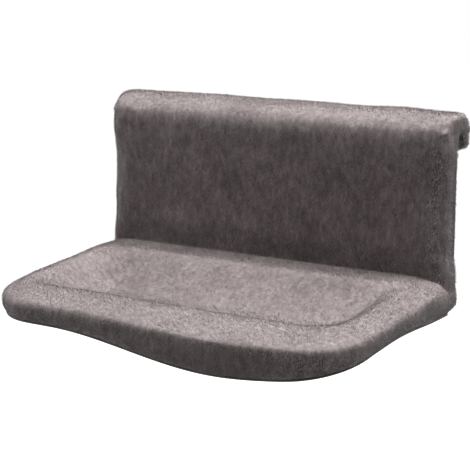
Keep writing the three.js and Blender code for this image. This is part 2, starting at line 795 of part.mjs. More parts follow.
// The slider: a channel round the chain, wider where the two halves part, with a bridge for the pull.
function zipSlider() {
  const nose = sliderHalfWidth;
  const shoulder = nose * sliderShoulderShare;
  const end = sliderLength / 2;
  const plan = new THREE.Shape();
  plan.moveTo(-end, -nose);
  plan.bezierCurveTo(0, -nose, 0, -shoulder, end - sliderWall, -shoulder);
  plan.lineTo(end, -shoulder + sliderWall);
  plan.lineTo(end, shoulder - sliderWall);
  plan.lineTo(end - sliderWall, shoulder);
  plan.bezierCurveTo(0, shoulder, 0, nose, -end, nose);
  plan.closePath();
  const height = zipChainTopZ - sliderEndZ;
  const body = new THREE.ExtrudeGeometry(plan, { depth: height, curveSegments: roundSteps, bevelEnabled: false });
  const channelFloor = sliderWall;
  const channelHeight = height - channelFloor + overrun;
  const channel = box(sliderLength + overrun, zipChainWidth + 2 * seamGap, channelHeight);
  const hollowed = cut(body, [at(channel, 0, 0, channelFloor + channelHeight / 2)]);
  const rooted = sliderWall / 2;
  const arch = new THREE.Shape();
  arch.moveTo(-bridgeLength / 2, rooted);
  arch.lineTo(-bridgeLength / 2, -bridgeHeight + bridgeWall);
  arch.lineTo(-bridgeLength / 2 + bridgeWall, -bridgeHeight);
  arch.lineTo(bridgeLength / 2 - bridgeWall, -bridgeHeight);
  arch.lineTo(bridgeLength / 2, -bridgeHeight + bridgeWall);
  arch.lineTo(bridgeLength / 2, rooted);
  arch.lineTo(bridgeLength / 2 - bridgeWall, rooted);
  arch.lineTo(bridgeLength / 2 - bridgeWall, -bridgeHeight + bridgeWall);
  arch.lineTo(-bridgeLength / 2 + bridgeWall, -bridgeHeight + bridgeWall);
  arch.lineTo(-bridgeLength / 2 + bridgeWall, rooted);
  arch.closePath();
  const bridge = new THREE.ExtrudeGeometry(arch, { depth: bridgeWidth, bevelEnabled: false });
  at(bridge.rotateX(Math.PI / 2), 0, bridgeWidth / 2, 0);
  return at(join(hollowed, [bridge]), sliderHomeX, 0, sliderEndZ);
}

// The pull tab hangs from the slider's bridge; its slot clears the bridge at every angle.
function zipPull() {
  const halfBar = pullThickness / 2;
  const slot = bridgeWidth / 2 + seamGap;
  const edge = slot + pullArm;
  const drop = sliderEndZ - pullAxisZ;
  const slotReach = Math.hypot(bridgeLength / 2, bridgeHeight - drop) + seamGap;
  const outline = new THREE.Shape();
  outline.moveTo(-edge, halfBar);
  outline.lineTo(-edge, edge - pullLength);
  outline.absarc(0, edge - pullLength, edge, Math.PI, 2 * Math.PI, false);
  outline.lineTo(edge, halfBar);
  outline.closePath();
  const hole = new THREE.Path();
  hole.moveTo(-slot, -halfBar);
  hole.lineTo(slot, -halfBar);
  hole.lineTo(slot, -slotReach);
  hole.lineTo(-slot, -slotReach);
  hole.closePath();
  outline.holes.push(hole);
  return at(extrudeAcross(outline, pullThickness), sliderHomeX, 0, pullAxisZ);
}

const steel = { color: '#c4c6c7', roughness: 0.35, metalness: 0.9 };
const zinc = { color: '#a9abad', roughness: 0.4, metalness: 0.9 };
const blackPlastic = { color: '#232324', roughness: 0.6, metalness: 0 };
const plush = { color: '#776e70', roughness: 1, metalness: 0 };
const liningCloth = { color: '#5b5456', roughness: 0.95, metalness: 0 };
const bindingCloth = { color: '#38332f', roughness: 0.9, metalness: 0 };
const wadding = { color: '#e9e6df', roughness: 1, metalness: 0 };
const zipCloth = { color: '#474244', roughness: 0.9, metalness: 0 };

function piece(name, geometry, look) {
  const mesh = new THREE.Mesh(geometry, new THREE.MeshStandardMaterial(look));
  mesh.name = name;
  return mesh;
}

function frameGroup() {
  return new THREE.Group().add(
    ...sides.map(({ side, sideName }) => piece(`side_frame_${sideName}`, sideFrame(side), steel)),
    piece('front_bow', frontBow(), steel),
    ...barPlaces.map((bar) => piece(bar.name, crossBar(bar), steel)),
    ...barEnds.map((end) => piece(`${end.name}_insert_${end.sideName}`, barInsert(end), zinc)),
    ...barEnds.map((end) => piece(`${end.name}_screw_${end.sideName}`, barScrew(end), zinc)),
    ...sides.map(({ side, sideName }) => piece(`bow_connector_${sideName}`, bowConnector(side), zinc)),
    ...connectorScrewPlaces.map((place) => piece(place.name, connectorScrew(place), zinc)),
    ...sides.map(({ side, sideName }) => piece(`hook_end_cap_${sideName}`, hookEndCap(side), blackPlastic)),
  );
}

function coverGroup() {
  return new THREE.Group().add(
    piece('back_cover', backCover(), plush),
    piece('back_lining', backLining(), liningCloth),
    piece('back_padding', backPadding(), wadding),
    piece('seat_cover', seatCover(), plush),
    piece('seat_padding', seatPadding(), wadding),
    piece('seat_underside', seatUnderside(), liningCloth),
    piece('hem_binding', hemBinding(), bindingCloth),
  );
}

// Lays a zip piece on the seat's sloping underside, below the lower bar.
function underSeat(geometry) {
  return at(geometry.rotateX(seatTilt), 0, lowerBarY, seatLineZ(lowerBarY) - hemDepth - undersideStep);
}

function zipGroup() {
  return new THREE.Group().add(
    piece('zip_tape_front', underSeat(zipTape(-1)), zipCloth),
    piece('zip_tape_rear', underSeat(zipTape(1)), zipCloth),
    piece('zip_teeth', underSeat(zipTeeth()), zipCloth),
    ...sides.map(({ side, sideName }) => piece(`zip_stop_${sideName}`, underSeat(zipStop(side)), zinc)),
    piece('zip_slider', underSeat(zipSlider()), zinc),
    piece('zip_pull', underSeat(zipPull()), zinc),
  );
}

export default new THREE.Group().add(frameGroup(), coverGroup(), zipGroup());
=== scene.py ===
"""Radiator cat bed: the plush back and seat, their pile, linings, wadding, binding and zip,
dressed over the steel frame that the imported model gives. Run it as a script."""

import json

import bmesh
import bpy
import numpy as np
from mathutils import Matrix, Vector, noise
from mathutils.bvhtree import BVHTree
from mathutils.kdtree import KDTree


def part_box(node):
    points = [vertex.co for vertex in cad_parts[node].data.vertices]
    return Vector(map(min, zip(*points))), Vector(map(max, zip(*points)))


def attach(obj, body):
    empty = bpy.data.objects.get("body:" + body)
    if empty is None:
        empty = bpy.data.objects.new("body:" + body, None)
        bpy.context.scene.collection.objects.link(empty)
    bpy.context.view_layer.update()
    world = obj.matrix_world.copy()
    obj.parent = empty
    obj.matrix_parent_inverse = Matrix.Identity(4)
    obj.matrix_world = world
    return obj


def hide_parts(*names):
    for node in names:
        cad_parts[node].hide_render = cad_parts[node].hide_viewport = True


bl_info = {
    "name": "Radiator Cat Bed",
    "version": (1, 0, 0),
    "blender": (4, 5, 0),
    "location": "View3D > Sidebar > Cat Bed",
    "description": "Builds a plush radiator bed for a cat over its packed frame",
    "category": "Object",
}

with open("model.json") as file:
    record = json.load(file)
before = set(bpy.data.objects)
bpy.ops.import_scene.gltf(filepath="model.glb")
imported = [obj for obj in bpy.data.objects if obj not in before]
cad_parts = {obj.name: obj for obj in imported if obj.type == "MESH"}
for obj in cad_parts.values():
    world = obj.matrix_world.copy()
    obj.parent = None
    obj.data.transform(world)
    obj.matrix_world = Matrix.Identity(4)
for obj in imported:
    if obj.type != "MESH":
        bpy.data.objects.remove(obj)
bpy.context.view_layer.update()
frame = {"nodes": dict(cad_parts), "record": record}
OPENINGS = {gap["name"]: gap["box_m"] for gap in frame["record"]["physics"]["openings"]}
MOUNTS = {mount["name"]: mount["pos_m"] for mount in frame["record"]["mounts"]}
PICTURE_SIDE = 470

# Modelling, in metres. A pair is the start and the end of a smooth change.
MERGE_DISTANCE = 0.00001
CLOSE = 0.0005  # what lies this close to a line or a plane is on it
FACING = 0.9  # a normal's least part along an axis for a face that looks that way
BORDER_ROUNDS = 12  # rounds of smoothing along a border or a line
STEEL_REACH = 0.012  # how far from the steel the skin is fitted over it
STEEL_ROUNDS = 3
HEM_REACH = 0.014  # how far from the hem the skin is smoothed
ARM_FADE = (0.004, 0.03)  # distance from a steel arm, beyond which the skin is drawn in
SWELL_SCALES = (14.0, 33.0)  # the filling's broad and finer unevenness, in waves per metre
REAR_FADE = (-0.07, -0.035)  # Y over which the rim's rolled sides end
REAR_HOLD = (-0.05, -0.02)  # Y over which the seat's filling ends
HEM_FADE = (0.002, 0.012)  # distance from the hem at which filling and pile are full
ROLL_SHARE = (0.72, 0.97)  # share of the rim's height at which its roll meets the top
ROLL_DEPTH = (0.022, 0.034)  # how far in from the hem the roll reaches
TUCK_DEPTH = (0.0, 0.03)  # how far in from the hem the cloth below is drawn in
DROOP_DEPTH = (0.01, 0.02)  # how far in from the hem the plush hangs down
WIDEST_SHARE = (0.2, 0.85)  # bounds of the rim's height at which it stands out most
CORNER_FADE = (0.2, 0.229)  # X over which the rear corners widen
PIPING_RADIUS = 0.0014
PIPING_SINK, PIPING_DROP = 0.0018, 0.0022  # how far the seam is drawn in and down
LAP = 0.0004  # how deep the lining's border lies under the plush
WADDING_GAP = 0.002  # least room between the wadding and the plush's wall
STUFFING = {
    "quality": 4,
    "mass": 0.3,
    "tension_stiffness": 18,
    "compression_stiffness": 18,
    "shear_stiffness": 6,
    "bending_stiffness": 0.8,
    "use_pressure": True,
}
STUFFING_STEPS = 20
STUFFING_ROUNDS = 10

# Pile: waves per metre of its whorls, clumps and broad patches, and its lightness
WHORL_SCALE, CLUMP_SCALE, PATCH_SCALE = 60.0, 130.0, 22.0
WHORL_SHIFTS = ((0, 0, 0), (37, 11, 5), (3, 71, 29))
PATCH_SHIFT = (5, 5, 5)
LEAN_RANGE, LENGTH_RANGE, WIDTH_RANGE = (0.6, 1.3), (0.7, 1.1), (0.7, 1.3)
STRAY_LEAN, STRAY_LENGTH = 0.4, 1.25
HEM_LENGTH = 0.35  # share of the length right beside the hem
# Painted light: tufts that face up are painted lighter than tufts on the sides
SHADED_SIDE_LIGHTNESS, LIT_TOP_LIGHTNESS = 0.24, 0.52
CLUMP_TONE, PATCH_TONE, TUFT_TONE = 0.1, 0.14, 0.07

# Pitches of the woven cloths' threads
LINING_PITCH = 0.0011
BINDING_PITCH = 0.0009
ZIP_PITCH = 0.0008

# Each lamp's place, and its width and height
LAMPS = {
    "key": ((0.1, -0.2, 1.45), (1.5, 1.2)),
    "fill": ((0.6, -2.2, 0.5), (1.6, 1.2)),
    "edge": ((1.2, 0.4, 1.5), (0.7, 0.7)),
    "side": ((-1.4, -0.42, 0.2), (0.8, 0.8)),
}
FLOOR_SIDE = 14
FLOOR_GLOW = (0.12, 0.56)  # squared distances from the bed over which the floor turns plain white


def metres(name, description, default, **limits):
    """A property that holds a length."""
    return bpy.props.FloatProperty(
        name=name, description=description, default=default, unit="LENGTH", **limits
    )


def colour(name, description, default):
    """A property that holds a linear colour."""
    return bpy.props.FloatVectorProperty(name=name, description=description, default=default, subtype="COLOR")


def watts(name, description, default):
    """A property that holds the power of a lamp."""
    return bpy.props.FloatProperty(name=name, description=description, default=default, unit="POWER")


class BedShape(bpy.types.PropertyGroup):
    """Sizes of the soft goods."""

    voxel: metres(
        "Remesh size", "Edge length of the mesh that the soft bodies are made of", 0.0045, min=0.002
    )
    pile_room: metres(
        "Room for pile", "How far the woven skins lie inside the outer face of the plush", 0.0022, min=0.0
    )
    plush_wall: metres("Plush thickness", "Thickness of the plush's woven back", 0.0022, min=0.0005)
    lining_wall: metres("Lining thickness", "Thickness of the lining cloth", 0.0012, min=0.0005)
    roll_radius: metres(
        "Roll radius", "Rounding of the plush where it turns from the back over the hook", 0.028, min=0.005
    )
    foot_reach: metres(
        "Foot reach", "Height over which the foot of the back is drawn down to the seat", 0.022, min=0.002
    )
    foot_sink: metres(
        "Foot sink", "How deep the foot of the back presses into the plush of the seat", 0.0045, min=0.0
    )
    roll_fall: metres("Roll fall", "Height over which the front of the roll turns upright", 0.032, min=0.005)
    flap_radius: metres(
        "Flap radius", "Rounding of the plush where it turns from the hook down to the flap", 0.022, min=0.005
    )
    flap_foot: metres("Flap foot", "Height of the flap's lower end, from the hook's saddle", -0.024)
    end_radius: metres("End radius", "Rounding of the back's two ends", 0.012, min=0.002)
    pressure: bpy.props.FloatProperty(
        name="Stuffing pressure",
        description="Pressure that the cloth simulation fills the back and the seat with",
        default=4.0,
        min=0.0,
    )
    swell_limit: metres("Swell limit", "The furthest that the stuffing may push a point", 0.004, min=0.0)
    hem_tuck: metres("Hem tuck", "How far the hem of the seat is drawn in under the rim", 0.003, min=0.0)
    hem_droop: metres("Hem droop", "How far the filled plush hangs down beside the hem", 0.005, min=0.0)
    rim_swell: metres("Rim swell", "How far the rim's filled side stands out past the hem", 0.0035, min=0.0)
    end_swell: metres("End swell", "How far the back's filled ends stand out", 0.003, min=0.0)
    end_taper: metres("End taper", "How much the front of the roll narrows at each end", 0.004, min=0.0)
    cover_turn: metres(
        "Cover turn", "Width of the plush that turns round the back's two ends onto the rear", 0.011, min=0.0
    )
    steel_cover: metres(
        "Cover over steel", "The least distance of the back's skin from the steel arms", 0.0025, min=0.0
    )
    flank_width: metres(
        "Flank width", "Width of the rounded outer side of the rim, seen from above", 0.023, min=0.005
    )
    ripple: metres("Ripple", "Depth of the broad unevenness of the filled plush", 0.0013, min=0.0)


class BedPile(bpy.types.PropertyGroup):
    """The plush's short pile."""

    length: metres("Pile length", "Length of one tuft of the pile", 0.0033, min=0.001)
    width: metres("Tuft width", "Width of one tuft of the pile at its root", 0.00034, min=0.0001)
    lean: bpy.props.FloatProperty(
        name="Lean",
        description="How far the pile lies over, from 0 for upright to 1 for halfway to flat",
        default=0.8,
        min=0.0,
    )
    tufts: bpy.props.IntProperty(
        name="Tufts", description="Number of tufts on each plush skin", default=190000, min=1000
    )
    nap: bpy.props.FloatVectorProperty(
        name="Nap", description="Way that the pile lies", default=(0.0, -0.5, -0.86), subtype="DIRECTION"
    )
    swirl: bpy.props.FloatProperty(
        name="Swirl", description="How much the nap turns in broad whorls", default=0.14, min=0.0
    )
    wildness: bpy.props.FloatProperty(
        name="Wildness", description="How much single tufts turn away from the nap", default=0.22, min=0.0
    )
    strays: bpy.props.FloatProperty(
        name="Strays", description="Share of the tufts that stand up and are longer", default=0.1, min=0.0
    )


class BedColours(bpy.types.PropertyGroup):
    """Colours of the bed's materials, as linear values."""

    # Painted shade and painted light: the plush's darkest end stands for shade down among the roots of the
    # pile, its lightest for light on the tips
    plush_painted_shade: colour("Plush, shaded", "Plush seen into the roots of its pile", (0.038, 0.023, 0.025))
    plush_painted_light: colour("Plush, light", "Tips of the pile where they catch the light", (0.80, 0.69, 0.69))
    lining: colour("Lining", "Woven lining behind the back and under the seat", (0.055, 0.047, 0.048))
    binding: colour("Binding", "Tape in the seam under the rim", (0.045, 0.038, 0.036))
    wadding: colour("Wadding", "Polyester wadding inside", (0.80, 0.78, 0.73))
    zip_tape: colour("Zip tape", "Tapes and coils of the zip", (0.060, 0.052, 0.055))
    steel: colour("Steel", "Zinc-plated steel tube", (0.56, 0.57, 0.58))
    zinc: colour("Zinc", "Screws, inserts, and the zip's slider and stops", (0.42, 0.43, 0.44))
    cap: colour("Cap", "Moulded caps in the tube ends", (0.018, 0.018, 0.018))


class BedStage(bpy.types.PropertyGroup):
    """The camera, the lamps and the floor."""

    azimuth: bpy.props.FloatProperty(
        name="Azimuth",
        description="Direction of the camera round the bed",
        default=np.radians(31.69),
        subtype="ANGLE",
    )
    elevation: bpy.props.FloatProperty(
        name="Elevation",
        description="Height of the camera over the bed, as an angle",
        default=np.radians(11.84),
        subtype="ANGLE",
    )
    distance: metres("Distance", "From the camera to the point that it looks at", 1.691)
    target: bpy.props.FloatVectorProperty(
        name="Target",
        description="The point that the camera looks at",
        default=(0.0074, -0.118, -0.1222),
        subtype="XYZ",
    )
    focal_pixels: bpy.props.FloatProperty(
        name="Focal length", description="Focal length in pixels of the square picture", default=1492.0
    )
    floor_height: metres(
        "Floor height", "Height of the floor, as below a bed that hangs on a radiator", -0.75
    )
    key: watts("Key lamp", "Power of the broad lamp above the bed", 21.0)
    fill: watts("Fill lamp", "Power of the lamp in front of the bed", 1.1)
    air: bpy.props.FloatProperty(
        name="Ambient light", description="Strength of the even light from all around", default=0.075, min=0.0
    )
    edge: watts("Right lamp", "Power of the lamp behind the bed on its right, which lights its ends", 34.0)
    side: watts("Left lamp", "Power of the low lamp on the left of the bed", 13.0)


# Shader trees


class Wire:
    """An output of a shader tree that can be used in Python sums."""

    def __init__(self, finish, socket):
        self.finish = finish
        self.socket = socket

    def combine(self, operation, *terms):
        node = self.finish.add("ShaderNodeMath", {"operation": operation}, dict(enumerate(terms)))
        return Wire(self.finish, node.outputs[0])

    def __add__(self, other):
        return self.combine("ADD", self, other)

    def __radd__(self, other):
        return self.combine("ADD", other, self)

    def __sub__(self, other):
        return self.combine("SUBTRACT", self, other)

    def __rsub__(self, other):
        return self.combine("SUBTRACT", other, self)

    def __mul__(self, other):
        return self.combine("MULTIPLY", self, other)

    def __rmul__(self, other):
        return self.combine("MULTIPLY", other, self)

    def wave(self):
        return self.combine("SINE", self)

    def between(self, low, high):
        """0 below low, 1 above high and smooth between."""
        node = self.finish.add(
            "ShaderNodeMapRange",
            {"interpolation_type": "SMOOTHSTEP", "clamp": True},
            {"Value": self, "From Min": low, "From Max": high, "To Min": 0.0, "To Max": 1.0},
        )
        return Wire(self.finish, node.outputs[0])


class Finish:
    """A material on one Principled shader, with the nodes that vary it over a surface."""

    def __init__(self, name, **shader):
        self.material = bpy.data.materials.new(name)
        self.material.use_nodes = True
        self.tree = self.material.node_tree
        self.shader = self.tree.nodes["Principled BSDF"]
        for socket, value in shader.items():
            self.feed(self.shader.inputs[socket.replace("_", " ").title().replace("Ior", "IOR")], value)

    def feed(self, socket, value):
        if isinstance(value, Wire):
            self.tree.links.new(value.socket, socket)
        else:
            socket.default_value = value

    def add(self, kind, settings=None, inputs=None):
        node = self.tree.nodes.new(kind)
        for setting, value in (settings or {}).items():
            setattr(node, setting, value)
        for socket, value in (inputs or {}).items():
            self.feed(node.inputs[socket], value)
        return node

    def wire(self, node, output=0):
        return Wire(self, node.outputs[output])

    def parts(self, node, output):
        """The three parts of a vector that a node gives."""
        split = self.add("ShaderNodeSeparateXYZ", inputs={0: self.wire(node, output)})
        return [self.wire(split, axis) for axis in range(3)]

    def axes(self):
        return self.parts(self.add("ShaderNodeTexCoord"), "Object")

    def cloud(self, scale, detail=2.0, roughness=0.5, stretch=(1, 1, 1)):
        place = self.wire(self.add("ShaderNodeTexCoord"), "Object")
        spot = self.wire(self.add("ShaderNodeMapping", inputs={"Vector": place, "Scale": stretch}))
        values = {"Vector": spot, "Scale": scale, "Detail": detail, "Roughness": roughness}
        return self.wire(self.add("ShaderNodeTexNoise", inputs=values))

    def blend(self, factor, first, second):
        node = self.add("ShaderNodeMix", {"data_type": "RGBA"})
        self.feed(node.inputs[0], factor)
        self.feed(node.inputs[6], (*first, 1.0))
        self.feed(node.inputs[7], (*second, 1.0))
        return self.wire(node, 2)

    def bump(self, height, depth, strength=1.0):
        node = self.add("ShaderNodeBump", inputs={"Height": height, "Distance": depth, "Strength": strength})
        self.feed(self.shader.inputs["Normal"], self.wire(node))

    def paint(self, socket, value):
        self.feed(self.shader.inputs[socket], value)


def seen_by_eye(tree):
    """1 for rays from the camera, and for those that gloss or glass sends on, and 0 for the rest."""
    path = tree.nodes.new("ShaderNodeLightPath")
    seen = path.outputs["Is Camera Ray"]
    for ray in ("Is Glossy Ray", "Is Transmission Ray"):
        either = tree.nodes.new("ShaderNodeMath")
        either.operation = "MAXIMUM"
        tree.links.new(seen, either.inputs[0])
        tree.links.new(path.outputs[ray], either.inputs[1])
        seen = either.outputs[0]
    return seen


def plush_skin_finish(colours):
    """The plush's woven back: painted light makes it lighter where it looks up, and it varies in patches,
    clumps and single fibres.
    """
    finish = Finish("plush_skin", roughness=0.95, sheen_weight=0.2, sheen_roughness=0.5)
    patches = finish.cloud(26.0, 3.0)
    clumps = finish.cloud(170.0, 3.0, 0.6, (1.0, 1.0, 0.45))
    fibres = finish.cloud(950.0, 2.0, 0.7, (1.0, 1.0, 0.35))
    # Painted top light: faces that look up are painted lighter, as if lit from above
    painted_top_light = finish.parts(finish.add("ShaderNodeNewGeometry"), "Normal")[2].between(-0.3, 0.9)
    lightness = 0.12 + painted_top_light * 0.36 + (patches - 0.5) * 0.25 + (clumps - 0.5) * 0.5 + (fibres - 0.5) * 0.4
    tone = lightness.between(0.0, 1.0)
    finish.paint("Base Color", finish.blend(tone, colours.plush_painted_shade, colours.plush_painted_light))
    finish.bump(clumps * 0.6 + fibres * 0.4, 0.0012)
    return finish.material


def pile_finish(colours):
    """Reads the pile's own map: U is how light a tuft is, painted light included, and V runs from its root to
    its tip. The root is painted darker than the tip, as painted shade down in the pile.
    """
    finish = Finish("plush_pile", roughness=0.9, sheen_weight=0.15, sheen_roughness=0.4)
    tone, height, _ = finish.parts(finish.add("ShaderNodeTexCoord"), "UV")
    # Painted shade: each tuft darkens towards its root
    lightness = tone * (height * 0.4 + 0.6)
    finish.paint("Base Color", finish.blend(lightness, colours.plush_painted_shade, colours.plush_painted_light))
    return finish.material


def woven_finish(name, thread, pitch, contrast=0.35):
    """A plain weave of threads one pitch apart, worn a little lighter in patches, with creases painted on as
    streaks of light and shade.
    """
    finish = Finish(name, roughness=0.85, sheen_weight=0.2)
    across, along, up = finish.axes()
    turns = 2 * np.pi / pitch
    warp = (across * turns).wave()
    weft = ((along + up) * turns).wave()
    weave = warp * weft * 0.5 + 0.5
    patches = finish.cloud(30.0, 3.0)
    # Painted light and shade of creases: stretched streaks lighter and darker
    crease_shading = finish.cloud(9.0, 4.0, 0.6, (1.0, 3.0, 1.0))
    tone = weave * contrast + patches * 0.7 + (crease_shading - 0.5) * 1.1 + (0.4 - contrast / 2)
    light = [min(1.0, part * 1.7) for part in thread]
    dark = [part * 0.55 for part in thread]
    finish.paint("Base Color", finish.blend(tone.between(0.0, 1.2), dark, light))
    finish.paint("Roughness", 0.78 + patches * 0.2)
    finish.bump(weave, 0.0002, 0.6)
    return finish.material


def wadding_finish(colours):
    """Loose white fibres."""
    finish = Finish("wadding", roughness=1.0, sheen_weight=0.3)
    tufts = finish.cloud(140.0, 5.0, 0.7)
    dark = [part * 0.78 for part in colours.wadding]
    finish.paint("Base Color", finish.blend(tufts, dark, colours.wadding))
    finish.bump(tufts, 0.003)
    return finish.material


def metal_finish(name, metal, grain, roughness):
    """Zinc with a fine grain drawn along X, and duller blooms."""
    finish = Finish(name, metallic=1.0, roughness=roughness)
    scratches = finish.cloud(grain, 3.0, 0.6, (1.0, 0.2, 0.2))
    blooms = finish.cloud(60.0, 3.0)
    dark = [part * 0.72 for part in metal]
    finish.paint("Base Color", finish.blend(blooms.between(0.3, 0.7), dark, metal))
    finish.paint("Roughness", roughness + (scratches - 0.5) * 0.3 + (blooms - 0.5) * 0.15)
    finish.bump(scratches, 0.00008, 0.5)
    return finish.material


def cap_finish(colours):
    """Black plastic with a moulded grain."""
    finish = Finish("cap_plastic", roughness=0.55)
    grain = finish.cloud(1500.0, 2.0)
    light = [part * 1.8 for part in colours.cap]
    finish.paint("Base Color", finish.blend(finish.cloud(80.0), colours.cap, light))
    finish.paint("Roughness", 0.45 + grain * 0.2)
    finish.bump(grain, 0.00005, 0.5)
    return finish.material


# Mesh work


def alone(thing):
    """Leaves only this object selected, and active."""
    bpy.ops.object.select_all(action="DESELECT")
    thing.select_set(True)
    bpy.context.view_layer.objects.active = thing


def settle(thing, name):
    """Names a finished piece and puts its place into its mesh."""
    alone(thing)
    bpy.ops.object.transform_apply(location=True, rotation=True, scale=True)
    thing.name = name
    thing.data.name = name
    return thing


def vectors(items, attribute):
    """A vector of each item of a mesh, as the rows of an array."""
    values = np.empty(len(items) * 3)
    items.foreach_get(attribute, values)
    return values.reshape(-1, 3)


def points(thing):
    return vectors(thing.data.vertices, "co")


def normals(thing):
    return vectors(thing.data.vertex_normals, "vector")


def put_points(thing, places):
    thing.data.vertices.foreach_set("co", np.ascontiguousarray(places).ravel())
    thing.data.update()


def smooth_step(values, low, high):
    share = np.clip((values - low) / (high - low), 0.0, 1.0)
    return share * share * (3.0 - 2.0 * share)


def copy_of(*nodes):
    """One new object with the meshes of CAD nodes, their doubles merged."""
    bpy.ops.object.select_all(action="DESELECT")
    copies = []
    for node in nodes:
        twin = bpy.data.objects.new(node + "_copy", frame["nodes"][node].data.copy())
        bpy.context.scene.collection.objects.link(twin)
        twin.data.materials.clear()
        twin.select_set(True)
        copies.append(twin)
    bpy.context.view_layer.objects.active = copies[0]
    if len(copies) > 1:
        bpy.ops.object.join()
    whole = bpy.context.view_layer.objects.active
    bpy.ops.object.mode_set(mode="EDIT")
    bpy.ops.mesh.select_all(action="SELECT")
    bpy.ops.mesh.remove_doubles(threshold=MERGE_DISTANCE)
    bpy.ops.object.mode_set(mode="OBJECT")
    return whole


def pick(thing, part, wanted):
    """In edit mode, selects the faces or edges for which wanted is true."""
    bpy.ops.mesh.select_mode(type="FACE" if part == "faces" else "EDGE")
    bpy.ops.mesh.select_all(action="DESELECT")
    edit = bmesh.from_edit_mesh(thing.data)
    for item in getattr(edit, part):
        if wanted(item):
            item.select_set(True)
    edit.select_flush_mode()
    bmesh.update_edit_mesh(thing.data)


def push(direction):
    """Extrudes what is selected."""
    bpy.ops.mesh.extrude_region_move(TRANSFORM_OT_translate={"value": direction})


def remesh(thing, voxel, smoothing):
    """Makes one closed mesh of even faces out of what an object holds."""
    alone(thing)
    thing.data.remesh_voxel_size = voxel
    thing.data.remesh_voxel_adaptivity = 0.0
    bpy.ops.object.voxel_remesh()
    bpy.ops.object.mode_set(mode="EDIT")
    bpy.ops.mesh.select_all(action="SELECT")
    bpy.ops.mesh.vertices_smooth(factor=0.5, repeat=smoothing)
    bpy.ops.mesh.normals_make_consistent(inside=False)
    bpy.ops.object.mode_set(mode="OBJECT")
    bpy.ops.object.shade_smooth()


def evened(thing, moves, rounds):
    """Moves of a mesh's points, each one averaged with those of its neighbours."""
    ends = np.empty(len(thing.data.edges) * 2, dtype=int)
    thing.data.edges.foreach_get("vertices", ends)
    ends = ends.reshape(-1, 2)
    count = np.bincount(ends.ravel(), minlength=len(moves))[:, None]
    for _ in range(rounds):
        around = np.zeros_like(moves)
        np.add.at(around, ends[:, 0], moves[ends[:, 1]])
        np.add.at(around, ends[:, 1], moves[ends[:, 0]])
        moves = (moves + around / count) / 2
    return moves


def inflate(thing, pressure, limit, freedom):
    """Fills a closed body as stuffing does. Freedom, from 0 to 1 at each point, is how far it may follow."""
    rest = points(thing)
    alone(thing)
    cloth = thing.modifiers.new("Stuffing", "CLOTH")
    for setting, value in STUFFING.items():
        setattr(cloth.settings, setting, value)
    cloth.settings.uniform_pressure_force = pressure
    cloth.settings.effector_weights.gravity = 0.0
    cloth.collision_settings.use_collision = False
    for step in range(STUFFING_STEPS):
        bpy.context.scene.frame_set(step + 1)
    swollen = thing.evaluated_get(bpy.context.evaluated_depsgraph_get()).to_mesh()
    filled = vectors(swollen.vertices, "co")
    thing.modifiers.remove(cloth)
    bpy.context.scene.frame_set(1)
    move = evened(thing, filled - rest, STUFFING_ROUNDS)
    length = np.linalg.norm(move, axis=1, keepdims=True)
    move *= np.minimum(1.0, limit / np.maximum(length, 1e-9)) * freedom[:, None]
    put_points(thing, rest + move)


def rough(places, scale, shift=(0, 0, 0)):
    """Smooth noise at each place."""
    return np.array([noise.noise(Vector(place) * scale + Vector(shift)) for place in places])


def ripple(thing, depth, freedom):
    """Broad, soft unevenness along the normals."""
    places, directions = points(thing), normals(thing)
    waves = rough(places, SWELL_SCALES[0]) + 0.5 * rough(places, SWELL_SCALES[1])
    put_points(thing, places + directions * (waves * depth * freedom)[:, None])


def draw_in(thing, depth, arm):
    """Moves a closed body's faces that look up or forwards inwards, but not in front of the steel arms."""
    places, directions = points(thing), normals(thing)
    free = smooth_step(np.abs(np.abs(places[:, 0]) - arm), *ARM_FADE)
    turned = np.clip(np.maximum(directions[:, 2], -directions[:, 1] * free), 0.0, 1.0)
    put_points(thing, places - directions * (turned * depth)[:, None])


def mesh_tree(mesh):
    return BVHTree.FromPolygons([v.co for v in mesh.vertices], [p.vertices[:] for p in mesh.polygons])


def node_tree(node):
    """A search tree over the faces of a CAD node."""
    return mesh_tree(frame["nodes"][node].data)


def drop(tree, place):
    """Where something that falls past the hook's height over a place lands."""
    return tree.ray_cast(Vector((place[0], place[1], 0.0)), Vector((0.0, 0.0, -1.0)))[0]


def nearest_first(thing, first, second):
    """For each face, whether it lies nearer to the first CAD node than to the second."""
    near, far = node_tree(first), node_tree(second)
    return [
        near.find_nearest(face.center)[3] <= far.find_nearest(face.center)[3] for face in thing.data.polygons
    ]


def grown(keep, thing):
    """The marked faces and the ring of faces round them."""
    touched = {spot for face, kept in zip(thing.data.polygons, keep) if kept for spot in face.vertices}
    return [any(spot in touched for spot in face.vertices) for face in thing.data.polygons]


def lapped(thing, keep, name):
    """The part of a body that is lining, with its border just under the plush's."""
    piece = part_of(thing, grown(keep, thing), name)
    put_points(piece, points(piece) - normals(piece) * LAP)
    return piece


def part_of(thing, keep, name):
    """A copy of the object with only the faces that keep marks, and its border smoothed."""
    piece = bpy.data.objects.new(name, thing.data.copy())
    bpy.context.scene.collection.objects.link(piece)
    edit = bmesh.new()
    edit.from_mesh(piece.data)
    edit.faces.ensure_lookup_table()
    bmesh.ops.delete(edit, geom=[f for f, kept in zip(edit.faces, keep) if not kept], context="FACES")
    for _ in range(BORDER_ROUNDS):
        rim = [v for v in edit.verts if v.is_boundary]
        places = {}
        for vert in rim:
            ends = [e.other_vert(vert).co for e in vert.link_edges if e.is_boundary]
            if len(ends) == 2:
                places[vert] = vert.co * 0.5 + (ends[0] + ends[1]) * 0.25
        for vert, place in places.items():
            vert.co = place
    edit.to_mesh(piece.data)
    edit.free()
    return piece


